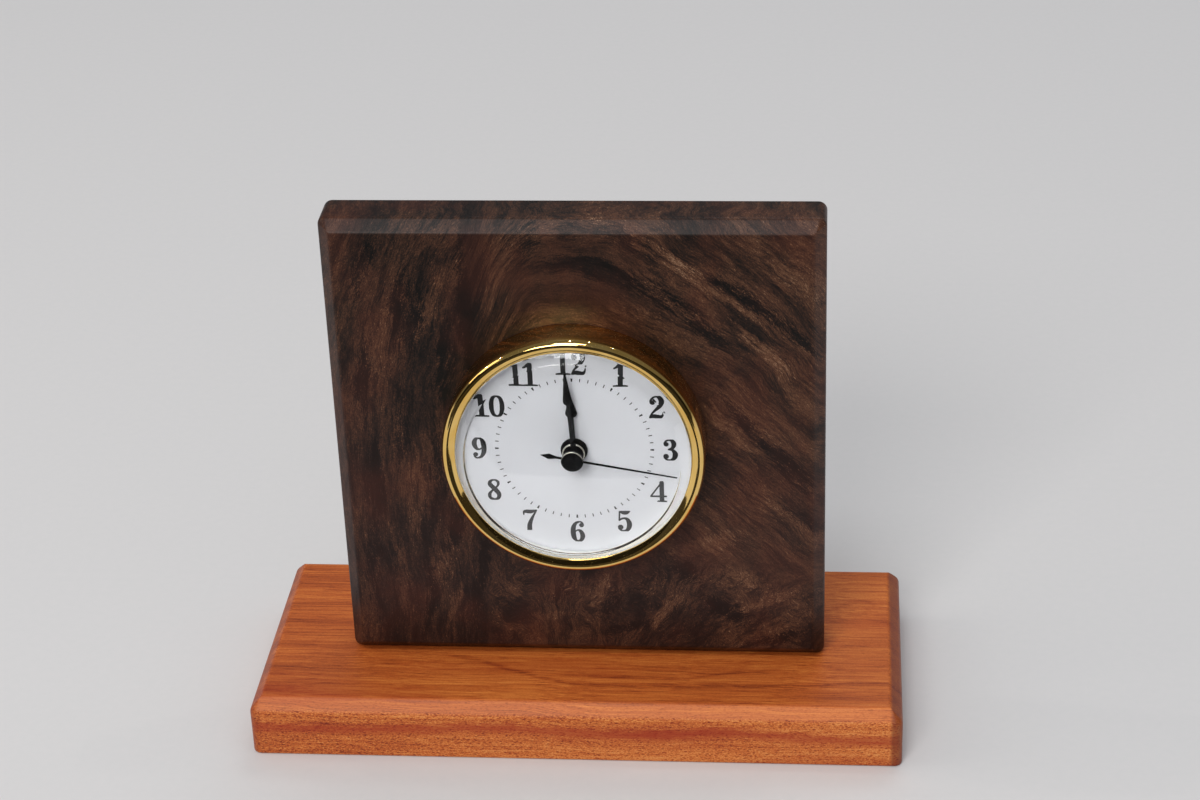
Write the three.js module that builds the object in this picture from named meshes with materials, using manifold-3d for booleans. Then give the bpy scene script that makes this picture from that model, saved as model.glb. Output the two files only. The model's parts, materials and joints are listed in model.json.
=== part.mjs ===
// A desk clock: a walnut plaque stands on a padauk base and holds a gilt quartz insert.
// Units are millimetres. +Z is up, the dial faces -Y, and the origin lies under the middle of the base.
// The insert is drawn as it is seen from the front: x to the right, y up, z towards the viewer,
// with z = 0 at the front face of the plaque and the hands' axis at x = y = 0.
import * as THREE from "three";
import { mergeVertices } from "three/addons/utils/BufferGeometryUtils.js";
import Module from "manifold-3d";

const wasm = await Module();
wasm.setup();

// Clearances and smoothness
const seatGap = 0.2; // between pieces that rest on each other
const runningGap = 0.12; // round a shaft in its hole
const handGap = 0.45; // between one hand and the next
const glassGap = 0.7; // between the hands' cap and the crystal
const overrun = 2; // how far a cutter passes the face it cuts
const roundSteps = 56; // steps round a large ring
const smallSteps = 16; // steps round a shaft
const arcSteps = 4; // steps round a softened corner

// Base board
const baseWidth = 229;
const baseDepth = 96.5;
const baseHeight = 22.2;
const baseChamfer = 4.4;
const baseCornerRadius = 3;

// Plaque
const plaqueWidth = 169;
const plaqueHeight = 170;
const boreHeight = 87.9; // of the hands' axis above the foot of the plaque
const boreOffset = -0.7; // of the axis from the middle of the plaque
const plaqueThickness = 18.5;
const plaqueChamfer = 4.1;
const plaqueCornerRadius = 3;
const plaqueSetback = 32.7; // from the front edge of the base
const plaqueOffset = 2.5; // to the right of the middle of the base

// Screws up through the base into the plaque
const screwSpacing = 104;
const screwLength = 38;
const screwRadius = 2.05;
const screwHeadRadius = 4.1;
const screwHeadHeight = 3;
const screwSink = 1;
const screwTipLength = 5;
const screwSlotWidth = 1;
const screwSlotDepth = 1.2;

// Dry cell, an AA
const cellRadius = 7.25;
const cellLength = 49.3;
const cellTopLength = 1.2;
const cellTopRadius = 2.75;

// Movement case, built round the cell
const caseWall = 1.2;
const caseCornerRadius = 3;
const cellClearance = 0.3;
const contactThickness = 0.4;
const contactWidth = 9;
const contactLeadWidth = 2.4;
const socketDepth = 0.7;
const postRadius = 1.3;

// Insert cup behind the dial
const caseClearance = 0.5;
const skirtWall = 1;
const cupPlateThickness = 1.2;
const skirtOverhang = 1.2; // how far the skirt reaches behind the movement
const hookThickness = 0.9;
const hookWidth = 6;
const hookBite = 0.8;
const gripThickness = 0.5;
const gripRibHeight = 0.3;
const gripWidth = 7;
const gripInset = 4.5; // of the ring behind the cup's plate
const gripRibCount = 2;
const boreClearance = 0.1;

// Dial, spacer, crystal and bezel
const dialThickness = 0.4;
const dialHeight = 5.1; // of its face above the plaque
const bezelOverlap = 5; // of the bezel on the plaque beyond the bore
const bezelWall = 1.2;
const bezelShoulder = 1.2;
const bezelCrest = 2; // from the outer wall in to the crest
const bezelSlopeWidth = 2.8;
const bezelSlopeDrop = 1.1;
const bezelLip = 0.6;
const bezelRollDepth = 1;
const crystalThickness = 1.3;
const crystalFlange = 0.7;
const crystalBevelWidth = 3;
const crystalBevelRise = 2.7;
const crystalDomeRise = 1.5;
const spacerWidth = 3;

// Hands, with their reach as shares of the crystal's radius
const hourHubRadius = 4.65;
const minuteHubRadius = 3.9;
const capRadius = 3.85;
const hourHandAngle = -2;
const minuteHandAngle = -3.6;
const secondHandAngle = 100.3;
const hourHandHeight = 1.3; // top of the hour hand above the dial
const minuteHandRise = 2.4; // from the hour hand to the minute hand
const secondHandRise = 4.2; // from the minute hand to the second hand
const handThickness = 0.3;
const hubThickness = 0.7;
const capHeight = 1.2;
const capSkirt = 0.35;
const hourShaftWidth = 1.4;
const minuteShaftWidth = 1.3;
const secondShaftWidth = 0.8;
const hourBladeWidth = 4.1;
const minuteBladeWidth = 3.2;
const secondTailWidth = 2.1;
const hourReachShares = [0.32, 0.365, 0.57]; // root of the blade, its widest place and its tip
const minuteReachShares = [0.47, 0.51, 0.868];
const secondReachShares = [0.275, 0.203, 0.14, 0.898]; // end of the tail, its widest place, its neck, the tip
const waistShares = [0.55, 0.4]; // width of a blade's waist, and its place on the way to the tip

// Arbors and pipes on the hands' axis
const secondArborRadius = 0.5;
const minutePipeRadius = 1.05;
const hourPipeRadius = 2.3;
const bushRadius = 3.6;
const pivotRadius = 0.5;
const settingArborRadius = 1.2;

// Wheel train: tooth counts and centre distances
const rotorTeeth = 6;
const fifthTeeth = { wheel: 36, pinion: 6 };
const secondTeeth = { wheel: 30, pinion: 6 };
const thirdTeeth = { wheel: 45, pinion: 6 };
const centreTeeth = 48;
const cannonTeeth = 10;
const motionTeeth = { wheel: 30, pinion: 8 };
const hourTeeth = 32;
const settingTeeth = 10;
const thirdDistance = 9;
const fifthDistance = 7.2;
const rotorDistance = 7;
const motionDistance = 8.4;
const thirdBearing = 120;
const fifthBearing = 175;
const rotorBearing = 150;
const motionBearing = 20;
const [rootWidthShare, tipWidthShare] = [0.62, 0.18]; // of the tooth pitch
const [addendumShare, dedendumShare] = [0.85, 1.15]; // of the module
const hubWidth = 0.9;
const wheelClearance = 1.6; // between the largest wheel and the cell's bay

// Layers of the train, as shares of the room between the two case plates, from the front
const layerShares = {
  hourWheel: [0.02, 0.075],
  motionPinion: [0.02, 0.155],
  cannonPinion: [0.1, 0.23],
  motionWheel: [0.155, 0.21],
  centreWheel: [0.29, 0.35],
  thirdPinion: [0.26, 0.445],
  thirdWheel: [0.445, 0.505],
  secondPinion: [0.43, 0.52],
  bridge: [0.54, 0.595],
  fifthPinion: [0.61, 0.8],
  secondWheel: [0.615, 0.66],
  magnet: [0.66, 0.77],
  stator: [0.68, 0.75],
  core: [0.765, 0.835],
  rotorPinion: [0.775, 0.88],
  fifthWheel: [0.8, 0.855],
  board: [0.83, 0.89],
};
const minutePipeEndShare = 0.37;
const motionStudEndShare = 0.24;

// Step motor and circuit
const magnetRadius = 2.6;
const magnetGap = 0.4;
const statorRing = 2.2;
const statorArmWidth = 3.4;
const coilLength = 14;
const coilRadius = 2.5;
const coilTubeRadius = 1.7;
const coilFlange = 0.7;
const coreWidth = 2.2;
const bobbinWall = 0.3;
const boardWidth = 19;
const boardHeight = 14;
const quartzRadius = 1;
const quartzLength = 6;
const chipRadius = 2.4;
const chipHeight = 0.9;

// Setting knob
const knobRadius = 6;
const knobHeight = 2.2;
const knobRibs = 12;
const knobRibDepth = 0.45;

// The movement's own sizes: its width follows from the cell, its height from the wheels and the cell
const bayHalfLength = (cellLength + cellTopLength) / 2 + contactThickness + 2 * seatGap + cellClearance / 2;
const caseHalfWidth = bayHalfLength + caseWall;
const wheelReach = outerRadius(centreTeeth, moduleOf(thirdDistance, centreTeeth, thirdTeeth.pinion));
const roomBottom = -wheelReach - wheelClearance;
const bayTop = roomBottom - caseWall;
const cellY = bayTop - cellClearance - cellRadius;
const bayBottom = cellY - cellRadius - cellClearance;
const caseHalfHeight = caseWall - bayBottom;
const roomHalfWidth = caseHalfWidth - caseWall;
const roomTop = caseHalfHeight - caseWall;
const cupPlateFront = dialHeight - dialThickness - seatGap;
const cupPlateBack = cupPlateFront - cupPlateThickness;
const caseFront = cupPlateBack - seatGap;
const roomFront = caseFront - caseWall;
const cellZ = roomFront - cellClearance - cellRadius;
const caseBack = cellZ - cellRadius;
const roomBack = caseBack + caseWall;
const roomDepth = roomFront - roomBack;
const caseSplit = (caseFront + caseBack) / 2;

// The cup, the bore, the bezel and the dial follow from the case
const caseCornerReach = Math.hypot(caseHalfWidth - caseCornerRadius, caseHalfHeight - caseCornerRadius);
const caseDiagonal = caseCornerReach + caseCornerRadius;
const cornerBearing = THREE.MathUtils.radToDeg(Math.atan2(caseHalfHeight, caseHalfWidth));
const skirtInner = caseDiagonal + caseClearance;
const skirtRadius = skirtInner + skirtWall;
const gripInner = skirtRadius + seatGap / 2;
const gripRadius = gripInner + gripThickness;
const boreRadius = gripRadius + gripRibHeight + boreClearance;
const skirtBack = caseBack - seatGap - skirtOverhang;
const bezelRadius = boreRadius + bezelOverlap;
const bezelInner = bezelRadius - bezelWall;
const crestRadius = bezelRadius - bezelCrest;
const lipRadius = crestRadius - bezelSlopeWidth;
const partRadius = bezelInner - seatGap; // of everything stacked inside the bezel
const crystalRadius = lipRadius - seatGap;
const crystalShoulder = crystalRadius - crystalBevelWidth;
const crystalInnerRim = crystalRadius - crystalThickness;
const crystalInnerShoulder = crystalShoulder - crystalThickness / 3;
const spacerInner = partRadius - spacerWidth - seatGap;

// The hands stand in layers above the dial, under the crystal, which sets the bezel's height
const hourHandTop = dialHeight + hourHandHeight;
const minuteHandTop = hourHandTop + minuteHandRise;
const secondHandTop = minuteHandTop + secondHandRise;
const capTop = secondHandTop + capHeight;
const bushTop = dialHeight - seatGap;
const crystalTop = capTop + glassGap + crystalThickness;
const bevelTop = crystalTop - crystalDomeRise;
const lipFront = bevelTop - crystalBevelRise;
const bezelHeight = lipFront + bezelSlopeDrop;
const lipBack = lipFront - bezelLip;
const bezelRollHeight = cupPlateBack - seatGap;
const crystalBack = lipBack - seatGap - crystalFlange;

// Wheel centres
const centre = new THREE.Vector2(0, 0);
const third = along(centre, thirdBearing, thirdDistance);
const fifth = along(centre, fifthBearing, fifthDistance);
const rotor = along(fifth, rotorBearing, rotorDistance);
const motion = along(centre, motionBearing, motionDistance);
const setting = along(motion, motionBearing, motionDistance);

// Step motor, board and posts
const coil = new THREE.Vector2(
  2 * statorArmWidth + coilLength / 2 - roomHalfWidth,
  roomTop - coilRadius - 2 * seatGap,
);
const board = new THREE.Vector2(
  roomHalfWidth - boardWidth / 2 - 3 * seatGap,
  roomTop - boardHeight / 2 - 3 * seatGap,
);
const statorRadius = magnetRadius + magnetGap + statorRing;
const statorRight = coil.x + coilLength / 2 + statorArmWidth;
const bridgeFoot = roomBottom + 2 * postRadius;
const bridgeHead = (rotor.y + statorRadius + coil.y - coilRadius) / 2;
const bridgePosts = [
  new THREE.Vector2(rotor.x - statorRadius - postRadius, bridgeFoot),
  new THREE.Vector2(rotor.x, bridgeHead),
  new THREE.Vector2(fifthDistance + postRadius, bridgeFoot),
  new THREE.Vector2(fifthDistance + postRadius, -bridgeFoot),
];

// Looks of each material, for the solids' own colours
const looks = {
  walnut: { color: 0x3b2a22, roughness: 0.45, metalness: 0 },
  padauk: { color: 0xb0602c, roughness: 0.45, metalness: 0 },
  gilt: { color: 0xd9a640, roughness: 0.12, metalness: 1 },
  brass: { color: 0xc9a24e, roughness: 0.3, metalness: 1 },
  steel: { color: 0xb9bcc0, roughness: 0.3, metalness: 1 },
  glass: { color: 0xf4f8fa, roughness: 0.03, metalness: 0 },
  dialWhite: { color: 0xe9e9ec, roughness: 0.5, metalness: 0 },
  handBlack: { color: 0x0c0c0e, roughness: 0.25, metalness: 0 },
  caseBlack: { color: 0x1b1b1d, roughness: 0.55, metalness: 0 },
  rubber: { color: 0x222222, roughness: 0.8, metalness: 0 },
  nylon: { color: 0xe8e4d6, roughness: 0.5, metalness: 0 },
  magnet: { color: 0x55575a, roughness: 0.5, metalness: 0.6 },
  copper: { color: 0xb5652f, roughness: 0.35, metalness: 1 },
  laminate: { color: 0x2f6b3c, roughness: 0.6, metalness: 0 },
  epoxy: { color: 0x111111, roughness: 0.3, metalness: 0 },
  cellJacket: { color: 0x4a4f57, roughness: 0.35, metalness: 0.2 },
};

// A point at a bearing in degrees, counted from +x towards +y, and a distance
function along(from, bearing, distance) {
  const angle = THREE.MathUtils.degToRad(bearing);
  return new THREE.Vector2(from.x + distance * Math.cos(angle), from.y + distance * Math.sin(angle));
}

// Booleans
function solidOf(geometry) {
  const bare = geometry.clone();
  bare.deleteAttribute("normal");
  bare.deleteAttribute("uv");
  const merged = mergeVertices(bare, 1e-4);
  const corners = Array.from(merged.index ? merged.index.array : bare.attributes.position.array.keys());
  const faces = [];
  for (let i = 0; i < corners.length; i += 3) {
    const [a, b, c] = corners.slice(i, i + 3);
    if (a !== b && b !== c && c !== a) faces.push(a, b, c);
  }
  return new wasm.Manifold(
    new wasm.Mesh({
      numProp: 3,
      vertProperties: Float32Array.from(merged.attributes.position.array),
      triVerts: Uint32Array.from(faces),
    }),
  );
}

function geometryOf(solid) {
  const mesh = solid.getMesh();
  const geometry = new THREE.BufferGeometry();
  geometry.setAttribute("position", new THREE.BufferAttribute(mesh.vertProperties, 3));
  geometry.setIndex(new THREE.BufferAttribute(mesh.triVerts, 1));
  geometry.computeVertexNormals();
  return geometry;
}

// Joins the first shapes and cuts the others out of them
function build(joined, cut = []) {
  let solid = solidOf(joined[0]);
  for (const geometry of joined.slice(1)) solid = solid.add(solidOf(geometry));
  for (const geometry of cut) solid = solid.subtract(solidOf(geometry));
  return geometryOf(solid);
}

function common(first, second) {
  return geometryOf(solidOf(first).intersect(solidOf(second)));
}

// Simple shapes, all standing along z
function box(width, height, low, high, x = 0, y = 0) {
  return new THREE.BoxGeometry(width, height, high - low).translate(x, y, (low + high) / 2);
}

function rod(radius, low, high, at = centre, steps = smallSteps) {
  const geometry = new THREE.CylinderGeometry(radius, radius, high - low, steps);
  return geometry.rotateX(Math.PI / 2).translate(at.x, at.y, (low + high) / 2);
}

// Turns a closed profile of [radius, z] pairs, listed anticlockwise, round the z axis
function turned(profile, steps = roundSteps) {
  const points = profile.map(([radius, z]) => new THREE.Vector2(radius, z));
  return new THREE.LatheGeometry([...points, points[0]], steps).rotateX(Math.PI / 2);
}

// Turns a profile that starts and ends on the axis
function turnedSolid(profile, steps = roundSteps) {
  const points = profile.map(([radius, z]) => new THREE.Vector2(radius, z));
  return new THREE.LatheGeometry(points, steps).rotateX(Math.PI / 2);
}

function ring(inner, outer, low, high, steps = roundSteps) {
  return turned([[outer, low], [outer, high], [inner, high], [inner, low]], steps);
}

function roundedRectangle(width, height, radius) {
  const [right, top] = [width / 2, height / 2];
  const shape = new THREE.Shape();
  shape.absarc(right - radius, top - radius, radius, 0, Math.PI / 2);
  shape.absarc(-right + radius, top - radius, radius, Math.PI / 2, Math.PI);
  shape.absarc(-right + radius, -top + radius, radius, Math.PI, 1.5 * Math.PI);
  shape.absarc(right - radius, -top + radius, radius, 1.5 * Math.PI, 2 * Math.PI);
  shape.closePath();
  return shape;
}

function rectangle(width, height) {
  const [right, top] = [width / 2, height / 2];
  return polygon([[-right, -top], [right, -top], [right, top], [-right, top]]);
}

function polygon(points) {
  return new THREE.Shape(points.map(([x, y]) => new THREE.Vector2(x, y)));
}

function extruded(shape, low, high) {
  const options = { depth: high - low, bevelEnabled: false, curveSegments: arcSteps };
  return new THREE.ExtrudeGeometry(shape, options).translate(0, 0, low);
}

// A board from z = 0 up, with softened corners and a chamfer round its upper face
function chamferedBoard(width, height, thickness, chamfer, cornerRadius) {
  const hipped = new THREE.ExtrudeGeometry(rectangle(width, height), {
    depth: thickness,
    bevelThickness: chamfer,
    bevelSize: chamfer,
    bevelOffset: -chamfer,
    bevelSegments: 1,
  }).translate(0, 0, -chamfer);
  return common(hipped, extruded(roundedRectangle(width, height, cornerRadius), 0, thickness + overrun));
}

// Where a layer of the train starts and ends: low is nearer the back of the clock
function layer(name) {
  const [front, back] = layerShares[name];
  return { low: depthAt(back), high: depthAt(front) };
}

function depthAt(share) {
  return roomFront - share * roomDepth;
}

// Toothed wheels
function moduleOf(distance, wheelTeeth, pinionTeeth) {
  return (2 * distance) / (wheelTeeth + pinionTeeth);
}

// The angle of a tooth on a second wheel that meshes with a first one at a bearing from it
function meshedPhase(firstTeeth, firstPhase, secondTeeth, bearing) {
  const angle = THREE.MathUtils.degToRad(bearing);
  const firstPlace = ((angle - firstPhase) * firstTeeth) / (2 * Math.PI);
  return angle + Math.PI - ((2 * Math.PI) / secondTeeth) * (0.5 - firstPlace);
}

function outerRadius(teeth, module) {
  return module * (teeth / 2 + addendumShare);
}

function toothedOutline(teeth, module, phase) {
  const rootRadius = module * (teeth / 2 - dedendumShare);
  const tipRadius = outerRadius(teeth, module);
  const step = (2 * Math.PI) / teeth;
  const points = [];
  for (let tooth = 0; tooth < teeth; tooth += 1) {
    const middle = phase + tooth * step;
    for (const [radius, offset] of [
      [rootRadius, -rootWidthShare / 2],
      [tipRadius, -tipWidthShare / 2],
      [tipRadius, tipWidthShare / 2],
      [rootRadius, rootWidthShare / 2],
    ]) {
      const angle = middle + offset * step;
      points.push([radius * Math.cos(angle), radius * Math.sin(angle)]);
    }
  }
  return polygon(points);
}

function toothed(teeth, module, phase, { low, high }) {
  return extruded(toothedOutline(teeth, module, phase), low, high);
}

// Modules and phases: each wheel's teeth stand between its neighbour's at rest
const trainModule = moduleOf(thirdDistance, centreTeeth, thirdTeeth.pinion);
const thirdModule = moduleOf(thirdDistance, thirdTeeth.wheel, secondTeeth.pinion);
const fifthModule = moduleOf(fifthDistance, secondTeeth.wheel, fifthTeeth.pinion);
const rotorModule = moduleOf(rotorDistance, fifthTeeth.wheel, rotorTeeth);
const motionModule = moduleOf(motionDistance, motionTeeth.wheel, cannonTeeth);
const hourModule = moduleOf(motionDistance, hourTeeth, motionTeeth.pinion);
const thirdWheelPhase = meshedPhase(secondTeeth.pinion, 0, thirdTeeth.wheel, thirdBearing);
const centrePhase = meshedPhase(thirdTeeth.pinion, 0, centreTeeth, thirdBearing + 180);
const fifthPinionPhase = meshedPhase(secondTeeth.wheel, 0, fifthTeeth.pinion, fifthBearing);
const rotorPhase = meshedPhase(fifthTeeth.wheel, 0, rotorTeeth, rotorBearing);
const motionPhase = meshedPhase(cannonTeeth, 0, motionTeeth.wheel, motionBearing);
const hourPhase = meshedPhase(motionTeeth.pinion, 0, hourTeeth, motionBearing + 180);
const settingPhase = meshedPhase(motionTeeth.wheel, motionPhase, settingTeeth, motionBearing);

// Wooden pieces
function screwProfile(grow) {
  const top = screwLength + grow;
  return [
    [0, -grow],
    [screwHeadRadius + grow, -grow],
    [screwRadius + grow, screwHeadHeight],
    [screwRadius + grow, top - screwTipLength],
    [0, top],
  ];
}

function screwCutter() {
  const well = rod(screwHeadRadius + seatGap, -screwSink - overrun, -seatGap / 2);
  return build([turnedSolid(screwProfile(seatGap), smallSteps), well]);
}

function baseBoard() {
  const blank = chamferedBoard(baseWidth, baseDepth, baseHeight, baseChamfer, baseCornerRadius);
  const holes = screwPlaces().map(({ x, y }) => screwCutter().translate(x, y, screwSink));
  return build([blank], holes);
}

function screwPlaces() {
  const y = -baseDepth / 2 + plaqueSetback + plaqueThickness / 2;
  return [-1, 1].map((side) => new THREE.Vector2(plaqueOffset + (side * screwSpacing) / 2, y));
}

// The plaque is drawn like the insert, with its front face at z = 0 and its foot at y = 0
function plaqueBoard() {
  const blank = chamferedBoard(plaqueWidth, plaqueHeight, plaqueThickness, plaqueChamfer, plaqueCornerRadius);
  blank.translate(0, plaqueHeight / 2, -plaqueThickness);
  const bore = rod(boreRadius, -plaqueThickness - overrun, overrun, boreCentre, roundSteps);
  const pilots = [-1, 1].map((side) => {
    const foot = screwSink - baseHeight - seatGap;
    const cutter = screwCutter().rotateX(-Math.PI / 2);
    return cutter.translate((side * screwSpacing) / 2, foot, -plaqueThickness / 2);
  });
  return build([blank], [bore, ...pilots]);
}

function woodScrew() {
  const slot = box(2 * screwHeadRadius + overrun, screwSlotWidth, -overrun, screwSlotDepth);
  return build([turnedSolid(screwProfile(0), smallSteps)], [slot]);
}

// Insert pieces that don't turn
function bezel() {
  return turned([
    [bezelRadius, seatGap],
    [bezelRadius, bezelHeight - bezelShoulder],
    [bezelRadius - bezelShoulder * (1 - Math.SQRT1_2), bezelHeight - bezelShoulder * (1 - Math.SQRT1_2)],
    [bezelRadius - bezelShoulder, bezelHeight],
    [crestRadius, bezelHeight],
    [lipRadius, lipFront],
    [lipRadius, lipBack],
    [bezelInner, lipBack],
    [bezelInner, bezelRollHeight],
    [bezelInner - bezelRollDepth, bezelRollHeight],
    [bezelInner - bezelRollDepth, seatGap],
  ]);
}

// Height of the crystal's dome above its bevel, at a share of the way out from the middle
function domeHeight(share) {
  return crystalDomeRise * (1 - share * share);
}

function crystal() {
  const domeShares = [0.75, 0.5, 0.25];
  const outer = domeShares.map((share) => [share * crystalShoulder, bevelTop + domeHeight(share)]);
  const inner = domeShares.map((share) => [
    share * crystalInnerShoulder,
    bevelTop - crystalThickness + domeHeight(share),
  ]);
  return turnedSolid([
    [0, crystalTop - crystalThickness],
    ...inner.reverse(),
    [crystalInnerShoulder, bevelTop - crystalThickness],
    [crystalInnerRim, lipFront],
    [crystalInnerRim, crystalBack],
    [partRadius, crystalBack],
    [partRadius, crystalBack + crystalFlange],
    [crystalRadius, crystalBack + crystalFlange],
    [crystalRadius, lipFront],
    [crystalShoulder, bevelTop],
    ...outer,
    [0, crystalTop],
  ]);
}

function dialSpacer() {
  return ring(spacerInner, partRadius, dialHeight + seatGap, crystalBack - seatGap);
}

function dial() {
  return ring(bushRadius + seatGap, partRadius, dialHeight - dialThickness, dialHeight);
}

// A plate behind the dial, a skirt through the plaque, and hooks that hold the movement
function insertCup() {
  const plateHole = bushRadius + seatGap;
  const body = turned([
    [skirtRadius, skirtBack],
    [skirtRadius, cupPlateBack],
    [partRadius, cupPlateBack],
    [partRadius, cupPlateFront],
    [plateHole, cupPlateFront],
    [plateHole, cupPlateBack],
    [skirtInner, cupPlateBack],
    [skirtInner, skirtBack],
  ]);
  const reach = skirtInner + skirtWall / 2;
  const hookLow = caseBack - seatGap - hookThickness;
  const corner = caseDiagonal - hookBite;
  const hooks = [cornerBearing, 180 - cornerBearing].map((bearing) => {
    const hook = box(reach - corner, hookWidth, hookLow, caseBack - seatGap, (reach + corner) / 2);
    return hook.rotateZ(THREE.MathUtils.degToRad(bearing));
  });
  const foot = caseHalfHeight - hookBite;
  const tongue = box(hookWidth, reach - foot, hookLow, caseBack - seatGap, 0, -(reach + foot) / 2);
  return build([body, ...hooks, tongue]);
}

// A rubber ring with ribs, which grips the bore of the plaque
function gripRing() {
  const high = cupPlateBack - gripInset;
  const pitch = gripWidth / gripRibCount;
  const profile = [[gripRadius, high - gripWidth]];
  for (let rib = 0; rib < gripRibCount; rib += 1) {
    const middle = high - gripWidth + (rib + 0.5) * pitch;
    profile.push([gripRadius, middle - pitch / 4]);
    profile.push([gripRadius + gripRibHeight, middle]);
    profile.push([gripRadius, middle + pitch / 4]);
  }
  profile.push([gripRadius, high], [gripInner, high], [gripInner, high - gripWidth]);
  return turned(profile);
}

// Movement case: two trays that meet at caseSplit, with the cell's bay open to the back
function caseTray(low, high, plateLow, plateHigh) {
  const outline = roundedRectangle(2 * caseHalfWidth, 2 * caseHalfHeight, caseCornerRadius);
  const hollow = roundedRectangle(2 * roomHalfWidth, 2 * roomTop, caseCornerRadius - caseWall);
  const walls = build([extruded(outline, low, high)], [extruded(hollow, low - overrun, high + overrun)]);
  const partition = box(2 * caseHalfWidth - caseWall, caseWall, low, high, 0, bayTop + caseWall / 2);
  const plate = extruded(outline, plateLow, plateHigh);
  const leads = [-1, 1].map((side) => {
    const x = side * (bayHalfLength - contactThickness / 2 - seatGap);
    return box(contactThickness + 2 * seatGap, 3 * caseWall, cellZ - contactLeadWidth, cellZ, x, bayTop);
  });
  return build([walls, partition, plate], leads);
}

function sockets(places, face, direction, radius) {
  return places.map((place) => {
    const deep = face + direction * socketDepth;
    const open = face - direction * overrun;
    return rod(radius, Math.min(deep, open), Math.max(deep, open), place);
  });
}

function movementFront() {
  const tray = caseTray(caseSplit + seatGap / 2, caseFront, roomFront, caseFront);
  const bush = rod(bushRadius, roomFront, bushTop, centre, 2 * smallSteps);
  const stud = rod(pivotRadius, depthAt(motionStudEndShare), roomFront + caseWall / 2, motion);
  const bore = hourPipeRadius + runningGap;
  const pipeHole = rod(bore, roomFront - overrun, bushTop + overrun, centre, 2 * smallSteps);
  const pivots = sockets([third], roomFront, 1, pivotRadius + runningGap);
  const knobSocket = sockets([setting], roomFront, 1, settingArborRadius + runningGap);
  return build([tray, bush, stud], [pipeHole, ...pivots, ...knobSocket]);
}

function movementBack() {
  const tray = caseTray(caseBack, caseSplit - seatGap / 2, caseBack, roomBack);
  const bay = box(2 * bayHalfLength, bayTop - bayBottom, caseBack - overrun, caseSplit, 0, cellY);
  const bridgeFace = layer("bridge").low - seatGap;
  const boardFace = layer("board").low - seatGap;
  const posts = bridgePosts.map((place) => rod(postRadius, roomBack - caseWall / 2, bridgeFace, place));
  const feet = boardPosts().map((place) => rod(postRadius, roomBack - caseWall / 2, boardFace, place));
  const pivots = sockets([centre, fifth, rotor], roomBack, -1, pivotRadius + runningGap);
  const knobHole = rod(settingArborRadius + runningGap, caseBack - overrun, roomBack + overrun, setting);
  return build([tray, ...posts, ...feet], [bay, ...pivots, knobHole]);
}

function boardPosts() {
  const [x, y] = [boardWidth / 2 - 2 * postRadius, boardHeight / 2 - 2 * postRadius];
  return [new THREE.Vector2(board.x - x, board.y + y), new THREE.Vector2(board.x + x, board.y - y)];
}

// A plate on four posts that carries the front pivots of the fifth wheel and the rotor
function trainBridge() {
  const { low, high } = layer("bridge");
  const [west, north] = [bridgePosts[0].x - postRadius, bridgePosts[1].y + postRadius];
  const [east, south] = [bridgePosts[2].x + postRadius, bridgePosts[2].y - postRadius];
  const plate = box(east - west, north - south, low, high, (east + west) / 2, (north + south) / 2);
  const hole = pivotRadius + runningGap;
  const holes = [third, fifth, rotor].map((place) => rod(hole, low - overrun, high + overrun, place));
  const passage = rod(secondArborRadius + seatGap, low - overrun, high + overrun);
  return build([plate], [...holes, passage]);
}

// The two contact strips: a plate at each end of the cell and a lead up the side of the case
function contactStrip(side) {
  const x = side * (bayHalfLength - contactThickness / 2 - seatGap);
  const half = contactWidth / 2;
  const plate = box(contactThickness, contactWidth, cellZ - half, cellZ + half, x, cellY);
  const leadTop = board.y - boardHeight / 2;
  const [low, high] = [cellZ - contactLeadWidth + seatGap, cellZ - seatGap];
  const lead = box(contactThickness, leadTop - cellY, low, high, x, (leadTop + cellY) / 2);
  return build([plate, lead]);
}

function cell() {
  const profile = [
    [0, -(cellLength + cellTopLength) / 2],
    [cellRadius, -(cellLength + cellTopLength) / 2],
    [cellRadius, (cellLength - cellTopLength) / 2],
    [cellTopRadius, (cellLength - cellTopLength) / 2],
    [cellTopRadius, (cellLength + cellTopLength) / 2],
    [0, (cellLength + cellTopLength) / 2],
  ];
  return turnedSolid(profile, 2 * smallSteps);
}

// Step motor
function stator() {
  const { low, high } = layer("stator");
  const top = coil.y + coreWidth / 2;
  const left = coil.x - coilLength / 2 - statorArmWidth / 2;
  const right = statorRight - statorArmWidth / 2;
  const ringPlate = rod(statorRadius, low, high, rotor, 2 * smallSteps);
  const leftArm = box(statorArmWidth, top - rotor.y, low, high, left, (top + rotor.y) / 2);
  const leftTie = box(rotor.x - left, statorArmWidth, low, high, (rotor.x + left) / 2, rotor.y);
  const shoulder = rotor.y + statorRadius - statorArmWidth / 2;
  const rightTie = box(right - rotor.x, statorArmWidth, low, high, (right + rotor.x) / 2, shoulder);
  const rightArm = box(statorArmWidth, top - shoulder, low, high, right, (top + shoulder) / 2);
  const corner = rod(statorArmWidth / 2, low, high, new THREE.Vector2(right, shoulder));
  const bore = rod(magnetRadius + magnetGap, low - overrun, high + overrun, rotor, 2 * smallSteps);
  return build([ringPlate, leftArm, leftTie, rightTie, rightArm, corner], [bore]);
}

function coilCore() {
  const { low, high } = layer("core");
  return box(coilLength + 2 * statorArmWidth, coreWidth, low, high, coil.x, coil.y);
}

// The bobbin and its winding are turned round z here, and laid along x by their meshes
function coilBobbin() {
  const half = coilLength / 2 - seatGap;
  const { low, high } = layer("core");
  const spool = turnedSolid(
    [
      [0, -half],
      [coilRadius, -half],
      [coilRadius, -half + coilFlange],
      [coilTubeRadius, -half + coilFlange],
      [coilTubeRadius, half - coilFlange],
      [coilRadius, half - coilFlange],
      [coilRadius, half],
      [0, half],
    ],
    smallSteps,
  );
  const slot = box(high - low + 2 * seatGap, coreWidth + 2 * seatGap, -half - overrun, half + overrun);
  return build([spool], [slot]);
}

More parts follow.
